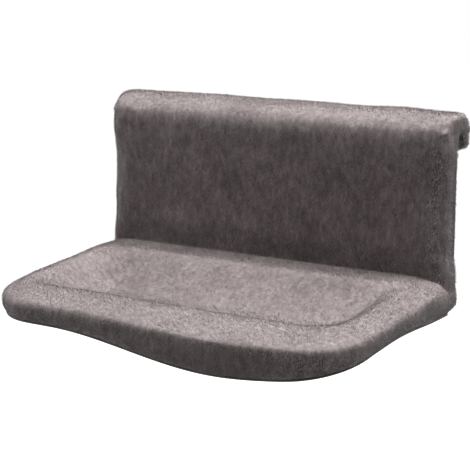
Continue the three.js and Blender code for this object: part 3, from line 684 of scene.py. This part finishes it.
def tidy_faces(keep, thing):
    """Turns lone marked or unmarked faces to what most of their neighbours are."""
    edit = bmesh.new()
    edit.from_mesh(thing.data)
    edit.faces.ensure_lookup_table()
    for _ in range(4):
        votes = []
        for face, mark in zip(edit.faces, keep):
            others = [other for edge in face.edges for other in edge.link_faces if other is not face]
            around = [keep[other.index] for other in others]
            lead = 2 * sum(around) - len(around)
            votes.append(mark if len(around) < 3 or lead == 0 else lead > 0)
        keep = votes
    edit.free()
    return keep


def thicken(thing, wall):
    """Gives a skin its thickness, inwards."""
    alone(thing)
    solidify = thing.modifiers.new("Wall", "SOLIDIFY")
    solidify.thickness = wall
    solidify.offset = -1.0
    bpy.ops.object.modifier_apply(modifier=solidify.name)
    bpy.ops.object.shade_smooth()


def dress(thing, material, body, slot, *nodes):
    thing.data.materials.clear()
    thing.data.materials.append(material)
    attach(thing, body)
    if nodes:
        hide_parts(*nodes)


class BED_OT_back(bpy.types.Operator):
    """Models the plush back with its hook and flap, and the lining behind it"""

    bl_idname = "bed.back"
    bl_label = "Back"

    def execute(self, context):
        shape, colours = context.scene.bed_shape, context.scene.bed_colours
        low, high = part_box("back_cover")
        rear, foot = MOUNTS["back_rest"][1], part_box("back_lining")[0].z
        end = high.x + shape.end_swell
        body = self.block_out(shape, low.y, rear, foot, high, end)
        remesh(body, shape.voxel, 3)
        lined = nearest_first(body, "back_lining", "back_cover")
        edge = high.x - shape.cover_turn
        lined = [mark and abs(face.center.x) < edge for mark, face in zip(lined, body.data.polygons)]
        lined = tidy_faces(lined, body)
        self.reach_seat(body, foot, shape)
        self.ease_roll(body, low.y, high.z, end, shape)
        freedom = self.freedom(body, rear, foot)
        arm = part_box("side_frame_right")
        draw_in(body, shape.pile_room, (arm[0].x + arm[1].x) / 2)
        inflate(body, shape.pressure, shape.swell_limit, freedom)
        ripple(body, shape.ripple, freedom)
        self.cover_steel(body, shape.steel_cover)
        fit_wadding("back_padding", "back_wadding", body, shape.plush_wall + WADDING_GAP, colours)
        plush = part_of(body, [not mark for mark in lined], "back_plush")
        lining = lapped(body, lined, "back_lining_cloth")
        bpy.data.objects.remove(body)
        sow_pile(plush, "back_pile", context, 11)
        thicken(plush, shape.plush_wall)
        thicken(lining, shape.lining_wall)
        dress(plush, plush_skin_finish(colours), "bed", "plush", "back_cover")
        weave = woven_finish("back_lining_weave", colours.lining, LINING_PITCH)
        dress(lining, weave, "bed", "lining", "back_lining")
        return {"FINISHED"}

    @staticmethod
    def block_out(shape, front, rear, foot, high, end):
        """The plain form of back, hook and flap in one, with its long edges and its two ends rounded."""
        gap_rear = OPENINGS["hook_gap"][1][1] + 0.001
        bpy.ops.object.select_all(action="DESELECT")
        bpy.ops.mesh.primitive_cube_add(size=1, location=(0, (front + rear) / 2, foot / 2))
        body = bpy.context.active_object
        body.scale = (end * 2, rear - front, -foot)
        bpy.ops.object.transform_apply(location=True, rotation=True, scale=True)
        bpy.ops.object.mode_set(mode="EDIT")
        pick(body, "faces", lambda f: f.normal.z > FACING)
        push((0, 0, high.z))
        pick(body, "faces", lambda f: f.normal.y > FACING and f.calc_center_median().z > 0)
        push((0, gap_rear - rear, 0))
        push((0, high.y - gap_rear, 0))
        pick(body, "faces", lambda f: f.normal.z < -FACING and f.calc_center_median().y > gap_rear)
        push((0, 0, shape.flap_foot))

        def along(edge, y):
            return all(abs(v.co.y - y) < CLOSE and abs(v.co.z - high.z) < CLOSE for v in edge.verts)

        def on_end(edge):
            """True on the outer rims of the two ends, but not along the lining."""
            middle = (edge.verts[0].co + edge.verts[1].co) / 2
            if any(abs(abs(v.co.x) - end) >= CLOSE for v in edge.verts) or middle.z <= foot + CLOSE * 2:
                return False
            behind = abs(middle.y - rear) < CLOSE and middle.z < CLOSE * 2
            under_hook = abs(middle.z) < CLOSE and middle.y > rear - CLOSE * 2
            flap_front = abs(middle.y - gap_rear) < CLOSE and middle.z < CLOSE * 2
            outer = any(abs(face.normal.x) > FACING for face in edge.link_faces)
            return outer and not (behind or under_hook or flap_front)

        for wanted, radius, segments in (
            (lambda e: along(e, front), shape.roll_radius, 10),
            (lambda e: along(e, high.y), shape.flap_radius, 8),
            (on_end, shape.end_radius, 5),
        ):
            pick(body, "edges", wanted)
            bpy.ops.mesh.bevel(offset=radius, segments=segments, affect="EDGES")
        bpy.ops.object.mode_set(mode="OBJECT")
        return body

    @staticmethod
    def freedom(body, rear, foot):
        """How far each point may follow the stuffing: not in the hook, at the foot or on the roll's ends."""
        places = points(body)
        in_hook = (places[:, 1] > rear - CLOSE) & (places[:, 2] < 0.004)
        freedom = np.where(in_hook, 0.0, smooth_step(places[:, 2], foot, foot + 0.03))
        return freedom * (1.0 - np.abs(normals(body)[:, 0]) * smooth_step(places[:, 2], -0.04, -0.01))

    @staticmethod
    def ease_roll(body, front, top, end, shape):
        """Lengthens the turn from the top of the roll down to the upright front, and tapers its two ends."""
        places = points(body)
        down = np.clip((places[:, 2] - (top - shape.roll_radius)) / shape.roll_radius, 0.0, 1.0)
        now = shape.roll_radius * (1.0 - np.sqrt(1.0 - down * down))
        up = np.clip((places[:, 2] - (top - shape.roll_fall)) / shape.roll_fall, 0.0, 1.0)
        wanted = shape.roll_radius * (1.0 - np.sqrt(1.0 - up * up))
        depth = places[:, 1] - front - now
        places[:, 1] += np.maximum(wanted - now, 0.0) * (1.0 - smooth_step(depth, 0.0, 0.02))
        ends = smooth_step(np.abs(places[:, 0]), end - 0.03, end)
        ends *= 1.0 - smooth_step(places[:, 1], -0.02, 0.01)
        ends *= smooth_step(places[:, 2], top - 0.05, top - 0.02)
        places[:, 0] -= np.sign(places[:, 0]) * shape.end_taper * ends
        put_points(body, places)

    @staticmethod
    def cover_steel(body, cover):
        """Lets the skin bulge where the steel arms would come through it."""
        arms = [node_tree("side_frame_left"), node_tree("side_frame_right")]
        for _ in range(STEEL_ROUNDS):
            places, directions = points(body), normals(body)
            moves = np.zeros_like(places)
            for index, place in enumerate(places):
                for arm in arms:
                    spot, outward, _, _ = arm.find_nearest(place, STEEL_REACH)
                    if spot is None or outward.dot(directions[index]) < 0.2:
                        continue
                    short = cover - (Vector(place) - spot).dot(outward)
                    if short > 0:
                        moves[index] += np.array(directions[index]) * short
            put_points(body, places + evened(body, moves, 6))

    @staticmethod
    def reach_seat(body, foot, shape):
        """Draws the foot of the back down onto the seat, also round the rim's ends."""
        tree = node_tree("seat_cover")
        places = points(body)
        for index in np.flatnonzero(places[:, 2] < foot + shape.foot_reach):
            hit = drop(tree, places[index])
            if hit is not None:
                near_foot = 1.0 - smooth_step(places[index][2], foot, foot + shape.foot_reach)
                places[index][2] += min(hit.z - foot - shape.foot_sink, 0.0) * near_foot
        put_points(body, places)


def tube_height(y):
    """Height of the centre of the seat's steel tube, which slopes down to the front."""
    low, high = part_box("front_bow")
    radius = (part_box("top_bar")[1].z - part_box("top_bar")[0].z) / 2
    front, rear = low.y + radius, high.y
    slope = ((high.z - radius) - (low.z + radius)) / (rear - front)
    return low.z + radius + slope * (y - front)


class HemLine:
    """The centre line of the seat's binding, from the left rear corner round the front to the right one."""

    STEP = 0.002

    def __init__(self):
        spots = np.array([vertex.co for vertex in frame["nodes"]["hem_binding"].data.vertices])
        middle = (spots[:, 1].min() + spots[:, 1].max()) / 2
        angles = np.arctan2(spots[:, 0], middle - spots[:, 1])
        order = np.argsort(angles)
        spots, angles = spots[order], angles[order]
        rings = np.split(spots, np.flatnonzero(np.diff(angles) > 0.02) + 1)
        knots = np.array([(ring.min(axis=0) + ring.max(axis=0)) / 2 for ring in rings])
        run = np.concatenate([[0.0], np.cumsum(np.linalg.norm(np.diff(knots, axis=0), axis=1))])
        even = np.linspace(0.0, run[-1], int(run[-1] / self.STEP))
        self.spots = np.stack([np.interp(even, run, knots[:, axis]) for axis in range(3)], axis=1)
        for _ in range(BORDER_ROUNDS):
            self.spots[1:-1] = self.spots[1:-1] / 2 + (self.spots[:-2] + self.spots[2:]) / 4
        ahead = np.gradient(self.spots[:, :2], axis=0)
        ahead /= np.linalg.norm(ahead, axis=1, keepdims=True)
        self.outward = np.stack([ahead[:, 1], -ahead[:, 0]], axis=1)
        self.tree = KDTree(len(self.spots))
        for index, spot in enumerate(self.spots):
            self.tree.insert((spot[0], spot[1], 0.0), index)
        self.tree.balance()

    def nearest(self, places):
        """For each place, the index of the spot on the line that is nearest to it, seen from above."""
        return np.array([self.tree.find((place[0], place[1], 0.0))[1] for place in places])

    def depth(self, places, near):
        """How far inside the line each place lies, seen from above."""
        return -np.sum((places[:, :2] - self.spots[near, :2]) * self.outward[near], axis=1)

    def clearance(self, places):
        """Distance of each place from the line."""
        return np.linalg.norm(places - self.spots[self.nearest(places)], axis=1)

    def sewn(self, index, shape):
        """Spots on the line, moved out with the filled rim and tucked in under it."""
        spots = self.spots[index].copy()
        fade = 1.0 - smooth_step(spots[:, 1], *REAR_FADE)
        out = shape.rim_swell - shape.hem_tuck * fade - PIPING_SINK
        spots[:, :2] += self.outward[index] * out[:, None]
        spots[:, 2] -= PIPING_DROP * fade
        return spots


class BED_OT_seat(bpy.types.Operator):
    """Models the filled seat with its rolled rim, and the cloth under it"""

    bl_idname = "bed.seat"
    bl_label = "Seat"

    def execute(self, context):
        shape, colours = context.scene.bed_shape, context.scene.bed_colours
        hem = HemLine()
        body = copy_of("seat_cover", "seat_padding", "seat_underside")
        self.plug_arm_holes(body)
        remesh(body, shape.voxel, 4)
        upper = tidy_faces(nearest_first(body, "seat_cover", "seat_underside"), body)
        self.roll_rim(body, hem, shape)
        self.seat_hem(body, upper, hem, shape)
        places, directions = points(body), normals(body)
        under = smooth_step(-directions[:, 2], 0.3, 0.7)
        far = smooth_step(hem.clearance(places), *HEM_FADE)
        rear = smooth_step(places[:, 1], *REAR_HOLD)
        freedom = (1.0 - under) * (1.0 - rear) * far
        inflate(body, shape.pressure, shape.swell_limit, freedom)
        ripple(body, shape.ripple, freedom)
        plush = part_of(body, upper, "seat_plush")
        base = lapped(body, [not mark for mark in upper], "seat_base_cloth")
        fit_wadding("seat_padding", "seat_wadding", body, shape.plush_wall + WADDING_GAP, colours)
        bpy.data.objects.remove(body)
        sow_pile(plush, "seat_pile", context, 23, hem)
        self.bind_hem(hem, shape, colours)
        thicken(plush, shape.plush_wall)
        thicken(base, shape.lining_wall)
        dress(plush, plush_skin_finish(colours), "bed", "plush", "seat_cover")
        weave = woven_finish("seat_base_weave", colours.lining, LINING_PITCH)
        dress(base, weave, "bed", "lining", "seat_underside")
        return {"FINISHED"}

    @staticmethod
    def plug_arm_holes(body):
        """Closes the two holes that the frame's arms enter by, so that the body is filled as one."""
        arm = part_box("side_frame_right")
        side, top, sunk = (arm[0].x + arm[1].x) / 2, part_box("seat_cover")[1].z, 0.018
        for x in (-side, side):
            bpy.ops.mesh.primitive_cylinder_add(
                vertices=16, radius=0.0075, depth=0.03, location=(x, -sunk, top - sunk)
            )
            bpy.context.active_object.select_set(True)
            body.select_set(True)
            bpy.context.view_layer.objects.active = body
            bpy.ops.object.join()

    @staticmethod
    def roll_rim(body, hem, shape):
        """Turns the rim's outer side into a roll round the seat's tube, and tucks its hem in."""
        places = points(body)
        tree = mesh_tree(body.data)
        tops = []
        for spot, outward in zip(hem.spots, hem.outward):
            inner = spot[:2] - outward * shape.flank_width * 1.2
            tops.append(drop(tree, inner).z)
        near = hem.nearest(places)
        depth = hem.depth(places, near) + shape.rim_swell
        height = np.array(tops)[near] - hem.spots[near, 2]
        share = (places[:, 2] - hem.spots[near, 2]) / height
        widest = np.clip((tube_height(places[:, 1]) - hem.spots[near, 2]) / height, *WIDEST_SHARE)
        low = np.clip(widest - share, 0.0, widest) / widest
        above = np.clip((share - widest) / (1.0 - widest), 0.0, 1.0)
        rolled = shape.flank_width * (1.0 - np.sqrt(1.0 - above * above))
        wanted = np.where(share < widest, shape.hem_tuck * low**5, rolled)
        weight = (1.0 - smooth_step(share, *ROLL_SHARE)) * (1.0 - smooth_step(depth, *ROLL_DEPTH))
        tucked = shape.hem_tuck * (1.0 - smooth_step(depth, *TUCK_DEPTH))
        pull = np.where(share > 0.0, (wanted - depth) * weight, tucked)
        fade = (1.0 - smooth_step(places[:, 1], *REAR_FADE)) * (depth < 0.05)
        places[:, :2] -= hem.outward[near] * (pull * fade)[:, None]
        flank = (share > 0.0) * (1.0 - smooth_step(depth, *DROOP_DEPTH))
        places[:, 2] -= shape.hem_droop * low**2 * flank * fade
        side = smooth_step(np.abs(places[:, 0]), *CORNER_FADE)
        corner = side * smooth_step(places[:, 1], *REAR_FADE)
        places[:, 0] += np.sign(places[:, 0]) * shape.rim_swell * corner
        put_points(body, places)

    @staticmethod
    def seat_hem(body, upper, hem, shape):
        """Lays the border between plush and base cloth on the hem line, and smooths the faces beside it."""
        edit = bmesh.new()
        edit.from_mesh(body.data)
        edit.verts.ensure_lookup_table()
        border = [v for v in edit.verts if len({upper[f.index] for f in v.link_faces}) > 1 and v.co.y < -0.03]
        spots = np.array([v.co for v in border])
        near = hem.nearest(spots)
        for vert, spot in zip(border, hem.sewn(near, shape)):
            vert.co = spot
        places = np.array([v.co for v in edit.verts])
        fixed = set(border)
        close = np.flatnonzero(hem.clearance(places) < HEM_REACH)
        beside = [edit.verts[index] for index in close if edit.verts[index] not in fixed]
        for _ in range(6):
            bmesh.ops.smooth_vert(
                edit, verts=beside, factor=0.5, use_axis_x=True, use_axis_y=True, use_axis_z=True
            )
        edit.to_mesh(body.data)
        edit.free()
        body.data.update()

    @staticmethod
    def bind_hem(hem, shape, colours):
        """Sews a round binding along the sides and the front of the seam."""
        line = hem.sewn(np.arange(0, len(hem.spots), 2), shape)
        path = bpy.data.curves.new("hem_piping", "CURVE")
        path.dimensions = "3D"
        path.bevel_depth = PIPING_RADIUS
        path.bevel_resolution = 3
        path.use_fill_caps = True
        spline = path.splines.new("POLY")
        spline.points.add(len(line) - 1)
        for knot, spot in zip(spline.points, line):
            knot.co = (*spot, 1.0)
        piping = bpy.data.objects.new("hem_piping", path)
        bpy.context.scene.collection.objects.link(piping)
        alone(piping)
        bpy.ops.object.convert(target="MESH")
        piping = bpy.context.active_object
        bpy.ops.object.shade_smooth()
        settle(piping, "hem_piping")
        weave = woven_finish("binding_weave", colours.binding, BINDING_PITCH)
        dress(piping, weave, "bed", "binding", "hem_binding")


def fit_wadding(node, name, body, clearance, colours):
    """A copy of a CAD wadding whose points all lie inside a body by the clearance."""
    fill = copy_of(node)
    alone(fill)
    bpy.ops.object.mode_set(mode="EDIT")
    bpy.ops.mesh.select_all(action="SELECT")
    bpy.ops.mesh.subdivide(number_cuts=1)
    bpy.ops.object.mode_set(mode="OBJECT")
    places, tree, directions = points(fill), mesh_tree(body.data), normals(body)
    for _ in range(3):
        for index, place in enumerate(places):
            hit, _, face, _ = tree.find_nearest(place)
            outward = directions[list(body.data.polygons[face].vertices)].mean(axis=0)
            over = np.dot(place - np.array(hit), outward) + clearance
            if over > 0:
                places[index] = place - outward * over
    put_points(fill, places)
    settle(fill, name)
    bpy.ops.object.shade_smooth_by_angle(angle=0.9)
    dress(fill, wadding_finish(colours), "bed", "wadding", node)


def unit(directions):
    return directions / np.linalg.norm(directions, axis=1, keepdims=True)


def scatter(skin, count, chance):
    """Evenly spread places on a skin, and the way that it faces there."""
    skin.data.calc_loop_triangles()
    corners = np.empty(len(skin.data.loop_triangles) * 3, dtype=int)
    skin.data.loop_triangles.foreach_get("vertices", corners)
    corners = corners.reshape(-1, 3)
    places, directions = points(skin), normals(skin)
    a, b, c = (places[corners[:, k]] for k in range(3))
    areas = np.linalg.norm(np.cross(b - a, c - a), axis=1) / 2
    picked = corners[chance.choice(len(corners), size=count, p=areas / areas.sum())]
    u, v = chance.random(count), chance.random(count)
    flip = u + v > 1
    u[flip], v[flip] = 1 - u[flip], 1 - v[flip]
    weights = np.stack([1 - u - v, u, v], axis=1)
    roots = np.einsum("nk,nkd->nd", weights, places[picked])
    return roots, unit(np.einsum("nk,nkd->nd", weights, directions[picked]))


def sow_pile(skin, name, context, seed, hem=None):
    """Covers a plush skin with short tufts, each one a tapered blade that leans with the nap."""
    pile, colours = context.scene.bed_pile, context.scene.bed_colours
    count = pile.tufts
    chance = np.random.default_rng(seed)
    roots, outward = scatter(skin, count, chance)
    swirl = np.stack([rough(roots, WHORL_SCALE, shift) for shift in WHORL_SHIFTS], axis=1)
    clump, patch = rough(roots, CLUMP_SCALE), rough(roots, PATCH_SCALE, PATCH_SHIFT)
    lay = np.array(pile.nap) + swirl * pile.swirl + chance.normal(size=(count, 3)) * pile.wildness
    lay -= outward * np.sum(lay * outward, axis=1, keepdims=True)
    lay /= np.maximum(np.linalg.norm(lay, axis=1, keepdims=True), 0.2)
    lean = pile.lean * (1 + 0.4 * clump) * chance.uniform(*LEAN_RANGE, count)
    length = pile.length * chance.uniform(*LENGTH_RANGE, count) * (1 + 0.25 * clump)
    stray = chance.random(count) < pile.strays
    lean[stray] *= STRAY_LEAN
    length[stray] *= STRAY_LENGTH
    if hem is not None:
        length *= HEM_LENGTH + (1 - HEM_LENGTH) * smooth_step(hem.clearance(roots), *HEM_FADE)
    grow = unit(outward + lay * lean[:, None])
    across = unit(np.cross(grow, chance.normal(size=(count, 3))))
    half = across * (pile.width / 2 * chance.uniform(*WIDTH_RANGE, count))[:, None]
    blades = np.stack([roots - half, roots + half, roots + grow * length[:, None]], axis=1)
    # Painted top light: tufts that face up are painted lighter, as if lit from above
    painted_top_light = smooth_step(outward[:, 2], -0.1, 0.8)
    shade = SHADED_SIDE_LIGHTNESS + (LIT_TOP_LIGHTNESS - SHADED_SIDE_LIGHTNESS) * painted_top_light
    shade += CLUMP_TONE * clump + PATCH_TONE * patch + TUFT_TONE * chance.normal(size=count)
    shade = np.clip(shade, 0.02, 0.98)
    soft = unit(outward + lay * 0.12 + chance.normal(size=(count, 3)) * 0.1)
    piece = bpy.data.objects.new(name, blade_mesh(name, blades, shade, soft))
    context.scene.collection.objects.link(piece)
    piece.visible_shadow = piece.visible_diffuse = False
    dress(piece, pile_finish(colours), "bed", "plush")


def blade_mesh(name, blades, shade, soft):
    """One triangle for each blade, mapped by its lightness and from root to tip, and softly lit."""
    count = len(blades)
    mesh = bpy.data.meshes.new(name)
    mesh.vertices.add(count * 3)
    mesh.vertices.foreach_set("co", blades.ravel())
    mesh.loops.add(count * 3)
    mesh.loops.foreach_set("vertex_index", np.arange(count * 3, dtype=np.int32))
    mesh.polygons.add(count)
    mesh.polygons.foreach_set("loop_start", np.arange(0, count * 3, 3, dtype=np.int32))
    mesh.update(calc_edges=True)
    tones = np.zeros((count, 3, 2))
    tones[:, :, 0] = shade[:, None]
    tones[:, 2, 1] = 1.0
    mesh.uv_layers.new(name="OFBake").data.foreach_set("uv", tones.ravel())
    mesh.polygons.foreach_set("use_smooth", np.ones(count, dtype=bool))
    mesh.normals_split_custom_set_from_vertices(np.repeat(soft, 3, axis=0).tolist())
    return mesh


class BED_OT_hardware(bpy.types.Operator):
    """Finishes the steel frame, its fasteners and the zip"""

    bl_idname = "bed.hardware"
    bl_label = "Frame and zip"

    def execute(self, context):
        colours = context.scene.bed_colours
        finishes = {
            "frame_steel": metal_finish("zinc_plated_tube", colours.steel, 500.0, 0.3),
            "fastener_steel": metal_finish("zinc_fasteners", colours.zinc, 1400.0, 0.38),
            "zip_metal": metal_finish("zip_metal", colours.zinc, 2200.0, 0.32),
            "cap_plastic": cap_finish(colours),
            "zip_cloth": woven_finish("zip_tape_weave", colours.zip_tape, ZIP_PITCH, 0.5),
        }
        slots = {part["node"]: part["material_slot"] for part in frame["record"]["subparts"]}
        for node, slot in slots.items():
            if slot in finishes:
                for holder in frame["nodes"][node].material_slots:
                    holder.material = finishes[slot]
        return {"FINISHED"}


class BED_OT_stage(bpy.types.Operator):
    """Sets the camera, the lamps, the pale floor and the white surroundings"""

    bl_idname = "bed.stage"
    bl_label = "Stage"

    def execute(self, context):
        stage, scene = context.scene.bed_stage, context.scene
        target = Vector(stage.target)
        lens = bpy.data.cameras.new("camera")
        lens.sensor_width = 36.0
        lens.lens = stage.focal_pixels / PICTURE_SIDE * lens.sensor_width
        lens.clip_end = 20.0
        camera = bpy.data.objects.new("camera", lens)
        scene.collection.objects.link(camera)
        turn, flat, rise = stage.azimuth, np.cos(stage.elevation), np.sin(stage.elevation)
        direction = Vector((np.sin(turn) * flat, -np.cos(turn) * flat, rise))
        camera.location = target + direction * stage.distance
        camera.rotation_euler = (-direction).to_track_quat("-Z", "Y").to_euler()
        scene.camera = camera
        for name, (place, size) in LAMPS.items():
            self.lamp(name, place, target, size, getattr(stage, name))
        self.floor(stage.floor_height)
        self.surroundings(stage.air)
        scene.view_settings.view_transform = "Standard"
        return {"FINISHED"}

    @staticmethod
    def lamp(name, place, target, size, power):
        light = bpy.data.lights.new(name, "AREA")
        light.shape = "RECTANGLE"
        light.size, light.size_y = size
        light.energy = power
        lamp = bpy.data.objects.new(name, light)
        bpy.context.scene.collection.objects.link(lamp)
        lamp.location = place
        lamp.rotation_euler = (target - Vector(place)).to_track_quat("-Z", "Y").to_euler()

    @staticmethod
    def floor(height):
        """Pale, plain white further off, and clear from underneath. It keeps the bed's shadow."""
        bpy.ops.object.select_all(action="DESELECT")
        bpy.ops.mesh.primitive_plane_add(size=FLOOR_SIDE, location=(0, 0, height))
        floor = settle(bpy.context.active_object, "floor")
        finish = Finish("pale_floor", roughness=0.9)
        finish.paint("Base Color", finish.blend(finish.cloud(3.0), (0.86, 0.86, 0.86), (0.9, 0.9, 0.9)))
        across, along, _ = finish.axes()
        seen = Wire(finish, seen_by_eye(finish.tree)) * (across * across + along * along).between(*FLOOR_GLOW)
        glow = finish.add("ShaderNodeEmission", inputs={"Color": (1, 1, 1, 1), "Strength": seen})
        lit = finish.add("ShaderNodeAddShader", inputs={0: finish.wire(finish.shader), 1: finish.wire(glow)})
        behind = finish.wire(finish.add("ShaderNodeNewGeometry"), "Backfacing")
        clear = finish.wire(finish.add("ShaderNodeBsdfTransparent"))
        mix = finish.add("ShaderNodeMixShader", inputs={0: behind, 1: finish.wire(lit), 2: clear})
        finish.feed(finish.tree.nodes["Material Output"].inputs["Surface"], finish.wire(mix))
        floor.data.materials.append(finish.material)

    @staticmethod
    def surroundings(strength):
        """White to the eye, and a weak even light to the bed."""
        world = bpy.data.worlds.new("surroundings")
        world.use_nodes = True
        tree = world.node_tree
        plain, white = tree.nodes["Background"], tree.nodes.new("ShaderNodeBackground")
        for background, brightness in ((plain, strength), (white, 1.0)):
            background.inputs["Color"].default_value = (1, 1, 1, 1)
            background.inputs["Strength"].default_value = brightness
        mix = tree.nodes.new("ShaderNodeMixShader")
        tree.links.new(seen_by_eye(tree), mix.inputs[0])
        tree.links.new(plain.outputs[0], mix.inputs[1])
        tree.links.new(white.outputs[0], mix.inputs[2])
        tree.links.new(mix.outputs[0], tree.nodes["World Output"].inputs["Surface"])
        bpy.context.scene.world = world


class BED_PT_panel(bpy.types.Panel):
    """Lists the bed's sizes, colours and the steps that build it"""

    bl_idname = "BED_PT_panel"
    bl_label = "Cat Bed"
    bl_space_type = "VIEW_3D"
    bl_region_type = "UI"
    bl_category = "Cat Bed"

    def draw(self, context):
        for group in GROUPS:
            section = self.layout.box()
            settings = getattr(context.scene, group)
            for name in settings.bl_rna.properties.keys():
                if name not in ("name", "rna_type"):
                    section.prop(settings, name)
        for step in STEPS:
            self.layout.operator(step.bl_idname)


STEPS = (BED_OT_stage, BED_OT_back, BED_OT_seat, BED_OT_hardware)
GROUPS = {"bed_shape": BedShape, "bed_pile": BedPile, "bed_colours": BedColours, "bed_stage": BedStage}
CLASSES = (*GROUPS.values(), *STEPS, BED_PT_panel)


def register():
    for piece in CLASSES:
        bpy.utils.register_class(piece)
    for name, group in GROUPS.items():
        setattr(bpy.types.Scene, name, bpy.props.PointerProperty(type=group))


def unregister():
    for name in GROUPS:
        delattr(bpy.types.Scene, name)
    for piece in reversed(CLASSES):
        bpy.utils.unregister_class(piece)


def main():
    register()
    bpy.ops.bed.stage()
    bpy.ops.bed.back()
    bpy.ops.bed.seat()
    bpy.ops.bed.hardware()


if __name__ == "__main__":
    main()
